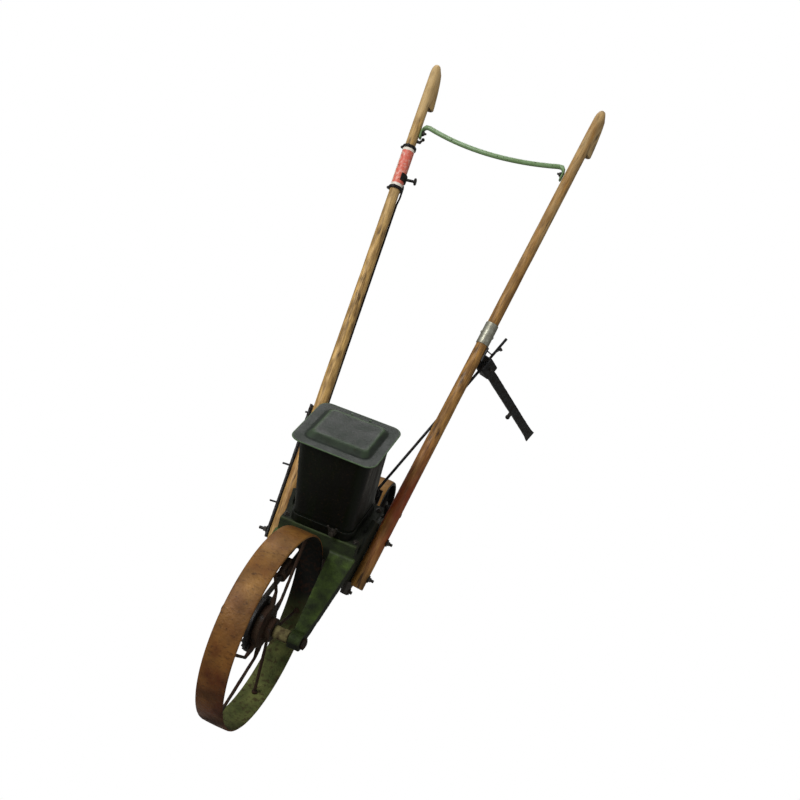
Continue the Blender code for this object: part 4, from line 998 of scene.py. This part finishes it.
class CrossBrace(PieceOperator):
    """Makes the bowed brace rod, its ends beaten flat against the handles"""
    bl_idname = "seed_drill.cross_brace"
    bl_label = "Cross Brace"

    def make(self):
        radius, share, tail, bow = 0.0056, 0.862, 0.03 / HANDLE_LENGTH, 0.026
        ends = []
        for pole in (LEFT_POLE, RIGHT_POLE):
            inside = -pole_radius(share) - 0.0063
            flat = inside + 0.0026
            ends.append([(pole.at(share - tail, flat), (0.0062, 0.0024)), (pole.at(share - 0.9 * tail, flat), (0.0086, 0.0026)),
                         (pole.at(share - 0.35 * tail, flat), (0.0084, 0.0028)), (pole.at(share - 0.12 * tail, inside - 0.0006), (0.0066, 0.0044)),
                         (pole.at(share + 0.02 * tail, inside - 0.005), (radius, radius)), (pole.at(share, inside - 0.013), (radius, radius))])
        left, right = ends
        front = -RIGHT_POLE.under * 0.35 - RIGHT_POLE.along * 0.94
        middle = []
        for i in range(1, 40):
            step = i / 40
            sag = 4 * step * (1 - step) * bow
            middle.append((left[-1][0].lerp(right[-1][0], step) + front * sag, (radius, radius)))
        run = left + middle + right[::-1]
        mesh = swept("cross_brace_bent", [place for place, _ in run], [size for _, size in run], RIGHT_POLE)
        place_piece("cross_brace_bent", mesh, "frame", "brace_paint", ["cross_brace"])
        spots = []
        for pole in (LEFT_POLE, RIGHT_POLE):
            spots.append((pole.at(share - 0.55 * tail, -pole_radius(share) - 0.0064), -pole.outward))
        fasteners("brace_nuts", spots, {"Head width": 0.0105, "Head height": 0.005, "Sides": 4, "Shank width": 0.005,
                                        "Shank length": 0.009})


class RateIndex(PieceOperator):
    """Makes the blank red index plate, its collars, slider and thumb screw, the rod to the feed, and a small lever"""
    bl_idname = "seed_drill.rate_index"
    bl_label = "Rate Index"

    def make(self):
        pole, sheet = LEFT_POLE, 0.0018
        margin = 0.0038 / HANDLE_LENGTH
        start, end = 0.722 + margin, 0.811 - margin
        inner = pole_radius(0.722) + 0.0003
        bm = bmesh.new()
        faces_uv = bm.loops.layers.uv.new("UVMap")
        columns, rows = 40, 30
        grid = {}
        for level in (0, 1):
            for r in range(rows + 1):
                for k in range(columns + 1):
                    angle = radians(-115) + radians(190) * (k / columns - 0.5)
                    radius = inner + sheet * level
                    if level and (r in (0, rows) or k in (0, columns)):
                        radius -= 0.0005
                    spot = pole.at(start + (end - start) * r / rows, cos(angle) * radius, sin(angle) * radius)
                    grid[level, r, k] = (bm.verts.new(spot), (k / columns, r / rows))
        quads = []
        for level in (0, 1):
            for r in range(rows):
                for k in range(columns):
                    quads.append([(level, r, k), (level, r, k + 1), (level, r + 1, k + 1), (level, r + 1, k)])
        for r in range(rows):
            for k in (0, columns):
                quads.append([(0, r, k), (0, r + 1, k), (1, r + 1, k), (1, r, k)])
        for k in range(columns):
            for r in (0, rows):
                quads.append([(0, r, k), (0, r, k + 1), (1, r, k + 1), (1, r, k)])
        for keys in quads:
            face = bm.faces.new([grid[key][0] for key in keys])
            for corner, key in zip(face.loops, keys):
                corner[faces_uv].uv = grid[key][1]
        place_piece("index_plate_enamel", settle("index_plate_enamel", bm), "frame", "index_plate_paint", ["index_plate"])
        for name in ("index_collar_lower", "index_collar_upper", "rate_slider"):
            wear_node(name, "frame", "black_iron", 0.0007, 0.0003, 2)
        wear_node("rate_rod", "frame", "black_iron", 0.0009, 0.0002, 2)

        bm = bmesh.new()
        foot = pole.at(0.829, -pole_radius(0.829) + 0.001)
        knee = pole.at(0.829, -pole_radius(0.829) - 0.006, 0.003)
        tip = pole.at(0.84, -pole_radius(0.829) - 0.009, 0.011)
        cylinder(bm, foot, knee, 0.0042, 12, 0.0032)
        cylinder(bm, knee, tip, 0.0032, 12, 0.0022)
        bmesh.ops.create_uvsphere(bm, u_segments=14, v_segments=10, radius=0.0042, matrix=Matrix.Translation(tip))
        bmesh.ops.create_uvsphere(bm, u_segments=14, v_segments=10, radius=0.0034, matrix=Matrix.Translation(knee))
        place_piece("cut_off_lever", settle("cut_off_lever", bm), "frame", "black_iron")

        spots = [(pole.at(share, 0, -pole_radius(share) - 0.0042), -pole.under) for share in (0.722, 0.811)]
        spots += [(pole.at(share, pole_radius(share) + 0.0042), pole.outward) for share in (0.722, 0.811)]
        fasteners("collar_screws", spots, {"Head width": 0.0062, "Head height": 0.0034, "Sides": 12, "Shank width": 0.003,
                                           "Shank length": 0.0045})


class SideBar(PieceOperator):
    """Makes the flat bar with its studs on the left handle"""
    bl_idname = "seed_drill.side_bar"
    bl_label = "Side Bar"

    def make(self):
        wear_node("side_bar", "frame", "black_iron", 0.001, 0.0004, 2)


class FerruleAndRest(PieceOperator):
    """Makes the galvanised ferrule, its rivet, and the clamp and wire that hold the marker"""
    bl_idname = "seed_drill.ferrule"
    bl_label = "Ferrule and Marker Rest"

    def make(self):
        wear_node("ferrule", "frame", "galvanised_sleeve", 0.0007, 0.0002, 2)
        wear_node("marker_rest", "frame", "black_iron", 0.0007, 0.0003, 2)
        surface = pole_radius(0.505) + 0.0017
        spots = [(RIGHT_POLE.at(0.505, cos(a) * surface, sin(a) * surface), cos(a) * RIGHT_POLE.outward + sin(a) * RIGHT_POLE.under)
                 for a in (radians(-150), radians(30))]
        fasteners("ferrule_rivets", spots, {"Head width": 0.0046, "Head height": 0.0016, "Sides": 16, "Shank width": 0.0026,
                                            "Shank length": 0.002}, "galvanised_sleeve")


class Marker(PieceOperator):
    """Makes the folding row marker: pivot bracket, rod, sliding head and leg with its worn foot"""
    bl_idname = "seed_drill.marker"
    bl_label = "Row Marker"

    def make(self):
        wear_node("marker_bracket", "frame", "black_iron", 0.0009, 0.0003, 2)
        wear_node("marker_rod", "marker", "black_iron", 0.0009, 0.0002, 2)
        wear_node("marker_head", "marker", "black_iron", 0.0009, 0.0008, 5)
        wear_node("marker_leg", "marker", "black_iron", 0.001, 0.0009, 3)
        head_low, head_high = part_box("marker_head")
        leg_low, leg_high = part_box("marker_leg")
        up = Vector((0, cos(HANDLE_RAKE), sin(HANDLE_RAKE)))
        across = Vector((1, 0, 0))
        beside = cos(MARKER_LEAN) * across - sin(MARKER_LEAN) * up
        leg = cos(LEG_TILT) * RIGHT_POLE.under + sin(LEG_TILT) * beside
        rod = cos(MARKER_LEAN) * up + sin(MARKER_LEAN) * across
        middle = (head_low + head_high) / 2
        reach = ((leg_low + leg_high) / 2 - middle).dot(leg) * 2
        bm = bmesh.new()
        knob = middle + leg * (0.55 * reach) - rod * 0.009
        cylinder(bm, knob, knob - rod * 0.011, 0.005, 16, 0.0042)
        bmesh.ops.create_uvsphere(bm, u_segments=16, v_segments=10, radius=0.0056, matrix=Matrix.Translation(knob - rod * 0.012))
        place_piece("marker_knob", settle("marker_knob", bm), "marker", "black_iron")
        facing = rod.cross(leg).normalized()
        spots = [(middle + facing * 0.0115, facing), (middle - facing * 0.0115, -facing)]
        fasteners("marker_set_screws", spots, {"Head width": 0.0085, "Head height": 0.005, "Sides": 4, "Shank width": 0.0045,
                                               "Shank length": 0.008}, body="marker")


class PressWheelAndRails(PieceOperator):
    """Makes the press wheel, its axle and spacers, and the two rear rails"""
    bl_idname = "seed_drill.press_wheel"
    bl_label = "Press Wheel and Rails"

    def make(self):
        low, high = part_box("press_wheel")
        half, outer = (high.x - low.x) / 2, (high.z - low.z) / 2
        inner, hub, web, bore = outer - 0.009, 0.02, 0.005, 0.0065
        profile = [(-half, bore), (-half, hub - 0.001), (-half + 0.001, hub), (-web - 0.003, hub + 0.001), (-web, hub + 0.005),
                   (-web, inner - 0.004), (-web - 0.003, inner - 0.0005), (-half + 0.001, inner), (-half, inner + 0.001),
                   (-half, outer - 0.0035), (-half + 0.001, outer - 0.0018), (-half * 0.8, outer - 0.0006), (-half * 0.4, outer),
                   (0, outer)]
        profile += [(-x, radius) for x, radius in profile[-2::-1]]

        def ripple(angle, x):
            return 0.0003 * (1 + noise.noise(Vector((2 * cos(angle), 2 * sin(angle), x * 40))))

        mesh = wheel_mesh("press_wheel_cast", PRESS_HUB, profile, 144, ripple)
        mesh.materials.append(material_of("press_steel"))
        mesh.materials.append(material_of("black_iron"))
        for polygon in mesh.polygons:
            offset = polygon.center - PRESS_HUB
            tread = Vector((0, offset.y, offset.z)).length > outer - 0.003 and abs(polygon.normal.x) < 0.8
            polygon.material_index = 0 if tread else 1
        place_piece("press_wheel_cast", mesh, "press_wheel", "tread_steel", ["press_wheel"])
        for name in ("press_axle", "press_spacer_left", "press_spacer_right"):
            wear_node(name, "frame", "black_iron", 0.0009, 0.0002, 2)
        for name in ("rear_rail_left", "rear_rail_right"):
            wear_node(name, "frame", "green_paint", 0.0012, 0.0004, 2)


class FrameFasteners(PieceOperator):
    """Makes the bolts, square nuts, rivets and lugs that hold the handles, hopper and rails"""
    bl_idname = "seed_drill.fasteners"
    bl_label = "Frame Fasteners"

    def make(self):
        feet = [0.022, 0.091]
        outer = 0.0151
        spots = [(RIGHT_POLE.at(share, outer), RIGHT_POLE.outward) for share in feet]
        fasteners("right_foot_bolts", spots, {"Head width": 0.0125, "Head height": 0.0052, "Sides": 4, "Shank width": 0.0062,
                                              "Shank length": 0.012})
        spots = [(LEFT_POLE.at(0.034, 0.0208), LEFT_POLE.outward)]
        fasteners("left_foot_nuts", spots, {"Head width": 0.0145, "Head height": 0.0075, "Sides": 4, "Shank width": 0.0068,
                                            "Shank length": 0.0185})
        spots = [(pole.at(share, -0.0262), -pole.outward) for pole in (LEFT_POLE, RIGHT_POLE) for share in feet]
        fasteners("seat_nuts", spots, {"Head width": 0.0115, "Head height": 0.0045, "Sides": 4, "Shank width": 0.0055,
                                       "Shank length": 0.007})

        bm = bmesh.new()
        front = GROUND_UNDER_AXLE + Vector((0.03, 0.2045, 0.2835))
        cylinder(bm, front, front + Vector((0, -0.006, 0)), 0.0085, 20, 0.0078)
        cylinder(bm, front + Vector((0, -0.006, 0)), front + Vector((0, -0.011, 0)), 0.0052, 6)
        for side in (-1, 1):
            foot = front + Vector((side * 0.006, -0.004, 0.004))
            top = foot + Vector((side * 0.003, -0.003, 0.012))
            cylinder(bm, foot, top, 0.0021, 10)
            bmesh.ops.create_uvsphere(bm, u_segments=12, v_segments=8, radius=0.0026, matrix=Matrix.Translation(top))
        place_piece("feed_gate_bolt", settle("feed_gate_bolt", bm), "frame", "black_iron")
        for name, pole in (("seat_lug_left", LEFT_POLE), ("seat_lug_right", RIGHT_POLE)):
            bm = bmesh.new()
            cylinder(bm, pole.at(0.004, -0.017, -0.004), pole.at(-0.019, -0.0165, -0.002), 0.0115, 8, 0.008)
            tip = pole.at(-0.012, -0.014, -0.002)
            cylinder(bm, tip, tip + pole.outward * 0.008, 0.0068, 4)
            cylinder(bm, tip, tip + pole.outward * 0.0125, 0.0034, 12)
            place_piece(name, settle(name, bm), "frame", "black_iron")

        low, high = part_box("feed_base")
        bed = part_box("feed_housing")[1].z + 0.0136
        corners = [(x, y, bed) for x in (low.x - 0.0085, high.x + 0.0085) for y in (low.y + 0.012, high.y - 0.012)]
        fasteners("bed_bolts", [(Vector(spot), Vector((0, 0, 1))) for spot in corners],
                  {"Head width": 0.0098, "Head height": 0.0042, "Sides": 4, "Shank width": 0.0045, "Shank length": 0.0065})

        low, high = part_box("hopper")
        middle = (low + high) / 2
        hinge_low, hinge_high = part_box("lid_hinge")
        rivets = [(Vector((middle.x + x, hinge_low.y + 0.0015, hinge_low.z + 0.011)), Vector((0, 1, 0))) for x in (-0.022, 0, 0.022)]
        fasteners("hinge_rivets", rivets, {"Head width": 0.0042, "Head height": 0.0014, "Sides": 16, "Shank width": 0.002,
                                           "Shank length": 0.0016})
        lid_low, lid_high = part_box("hopper_lid")
        spots = [(Vector((middle.x + x, lid_high.y - 0.0105, high.z + 0.0018)), Vector((0, 0, 1))) for x in (-0.02, 0.02)]
        fasteners("lid_rivets", spots, {"Head width": 0.0034, "Head height": 0.0008, "Sides": 16, "Shank width": 0.002,
                                        "Shank length": 0.0014}, "lid_paint", "lid")

        spots = []
        for rail, side in (("rear_rail_left", -1), ("rear_rail_right", 1)):
            rail_low, rail_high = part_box(rail)
            face = rail_low.x if side < 0 else rail_high.x
            spots.append((Vector((face, rail_low.y + 0.012, rail_high.z - 0.018)), Vector((side, 0, 0))))
            slope = (PRESS_HUB.z - 0.222) / (PRESS_HUB.y - rail_low.y)
            behind = 0.142
            spots.append((Vector((face, rail_low.y + behind, 0.222 + slope * behind)), Vector((side, 0, 0))))
        fasteners("rail_bolts", spots, {"Head width": 0.012, "Head height": 0.0055, "Sides": 4, "Shank width": 0.006,
                                        "Shank length": 0.009})


class Stage(PieceOperator):
    """Sets the paper floor, the soft lights and the camera"""
    bl_idname = "seed_drill.stage"
    bl_label = "Stage"

    def make(self):
        half = sizes().floor_size / 2
        mesh = bpy.data.meshes.new("floor")
        mesh.from_pydata([(-half, -half, 0), (half, -half, 0), (half, half, 0), (-half, half, 0)], [], [(0, 1, 2, 3)])
        mesh.materials.append(material_of("floor"))
        floor = bpy.data.objects.new("floor", mesh)
        bpy.context.scene.collection.objects.link(floor)

        world = bpy.data.worlds.new("studio")
        bpy.context.scene.world = world
        world.use_nodes = True
        tree = world.node_tree
        soft = tree.nodes["Background"]
        soft.inputs["Color"].default_value = (1, 1, 1, 1)
        soft.inputs["Strength"].default_value = 0.4
        seen = node(tree, "Background", {"Color": (1, 1, 1), "Strength": 1.0})
        path = node(tree, "LightPath")
        pick = node(tree, "MixShader", {0: path.outputs["Is Camera Ray"]})
        tree.links.new(soft.outputs[0], pick.inputs[1])
        tree.links.new(seen.outputs[0], pick.inputs[2])
        tree.links.new(pick.outputs[0], tree.nodes["World Output"].inputs["Surface"])

        # name, place, target, size, watts
        lamps = [("key", (-1.5, -1.6, 3.3), (0, 0, 0.4), 1.4, 95), ("fill", (2.6, -1.6, 1.6), (0, 0, 0.3), 2.4, 12),
                 ("rim", (-0.9, 2.4, 2.6), (0, 0.1, 0.5), 1.6, 35)]
        for name, place, target, size, power in lamps:
            light = bpy.data.lights.new(name, "AREA")
            light.size = size
            light.energy = power
            lamp = bpy.data.objects.new(name, light)
            lamp.location = place
            lamp.rotation_euler = (Vector(target) - Vector(place)).to_track_quat("-Z", "Y").to_euler()
            bpy.context.scene.collection.objects.link(lamp)

        camera = bpy.data.cameras.new("camera")
        camera.lens = 41.82
        camera.sensor_width = 36
        thing = bpy.data.objects.new("camera", camera)
        right, up, back = (0.9126, 0.3693, 0.1755), (-0.3394, 0.4447, 0.8289), (0.2280, -0.8160, 0.5312)
        place = GROUND_UNDER_AXLE + Vector((0.479, -1.121, 1.491))
        rows = [[right[i], up[i], back[i], place[i]] for i in range(3)]
        thing.matrix_world = Matrix(rows + [[0, 0, 0, 1]])
        bpy.context.scene.collection.objects.link(thing)
        bpy.context.scene.camera = thing
        bpy.context.scene.view_settings.view_transform = "Standard"


PIECES = [FrontWheel, FeedDrive, FrameCasting, FeedAndOpener, Hopper, HopperLid, Handles, CrossBrace, RateIndex, SideBar,
          FerruleAndRest, Marker, PressWheelAndRails, FrameFasteners, Stage]


class SeedDrillPanel(bpy.types.Panel):
    """Lists the pieces and the sizes and colours they take"""
    bl_idname = "VIEW3D_PT_seed_drill"
    bl_label = "Seed Drill"
    bl_space_type = "VIEW_3D"
    bl_region_type = "UI"
    bl_category = "Seed Drill"

    def draw(self, context):
        layout = self.layout
        for piece in PIECES:
            layout.operator(piece.bl_idname)
        for group in (context.scene.seed_drill_sizes, context.scene.seed_drill_colours):
            box = layout.box()
            for name in group.bl_rna.properties.keys():
                if name not in ("rna_type", "name"):
                    box.prop(group, name)


CLASSES = [SeedDrillColours, SeedDrillSizes] + PIECES + [SeedDrillPanel]


def register():
    for item in CLASSES:
        bpy.utils.register_class(item)
    bpy.types.Scene.seed_drill_colours = bpy.props.PointerProperty(type=SeedDrillColours)
    bpy.types.Scene.seed_drill_sizes = bpy.props.PointerProperty(type=SeedDrillSizes)


def unregister():
    del bpy.types.Scene.seed_drill_sizes
    del bpy.types.Scene.seed_drill_colours
    for item in reversed(CLASSES):
        bpy.utils.unregister_class(item)


def main():
    register()
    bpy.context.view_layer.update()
    for piece in PIECES:
        group, name = piece.bl_idname.split(".")
        getattr(getattr(bpy.ops, group), name)()


if __name__ == "__main__":
    main()
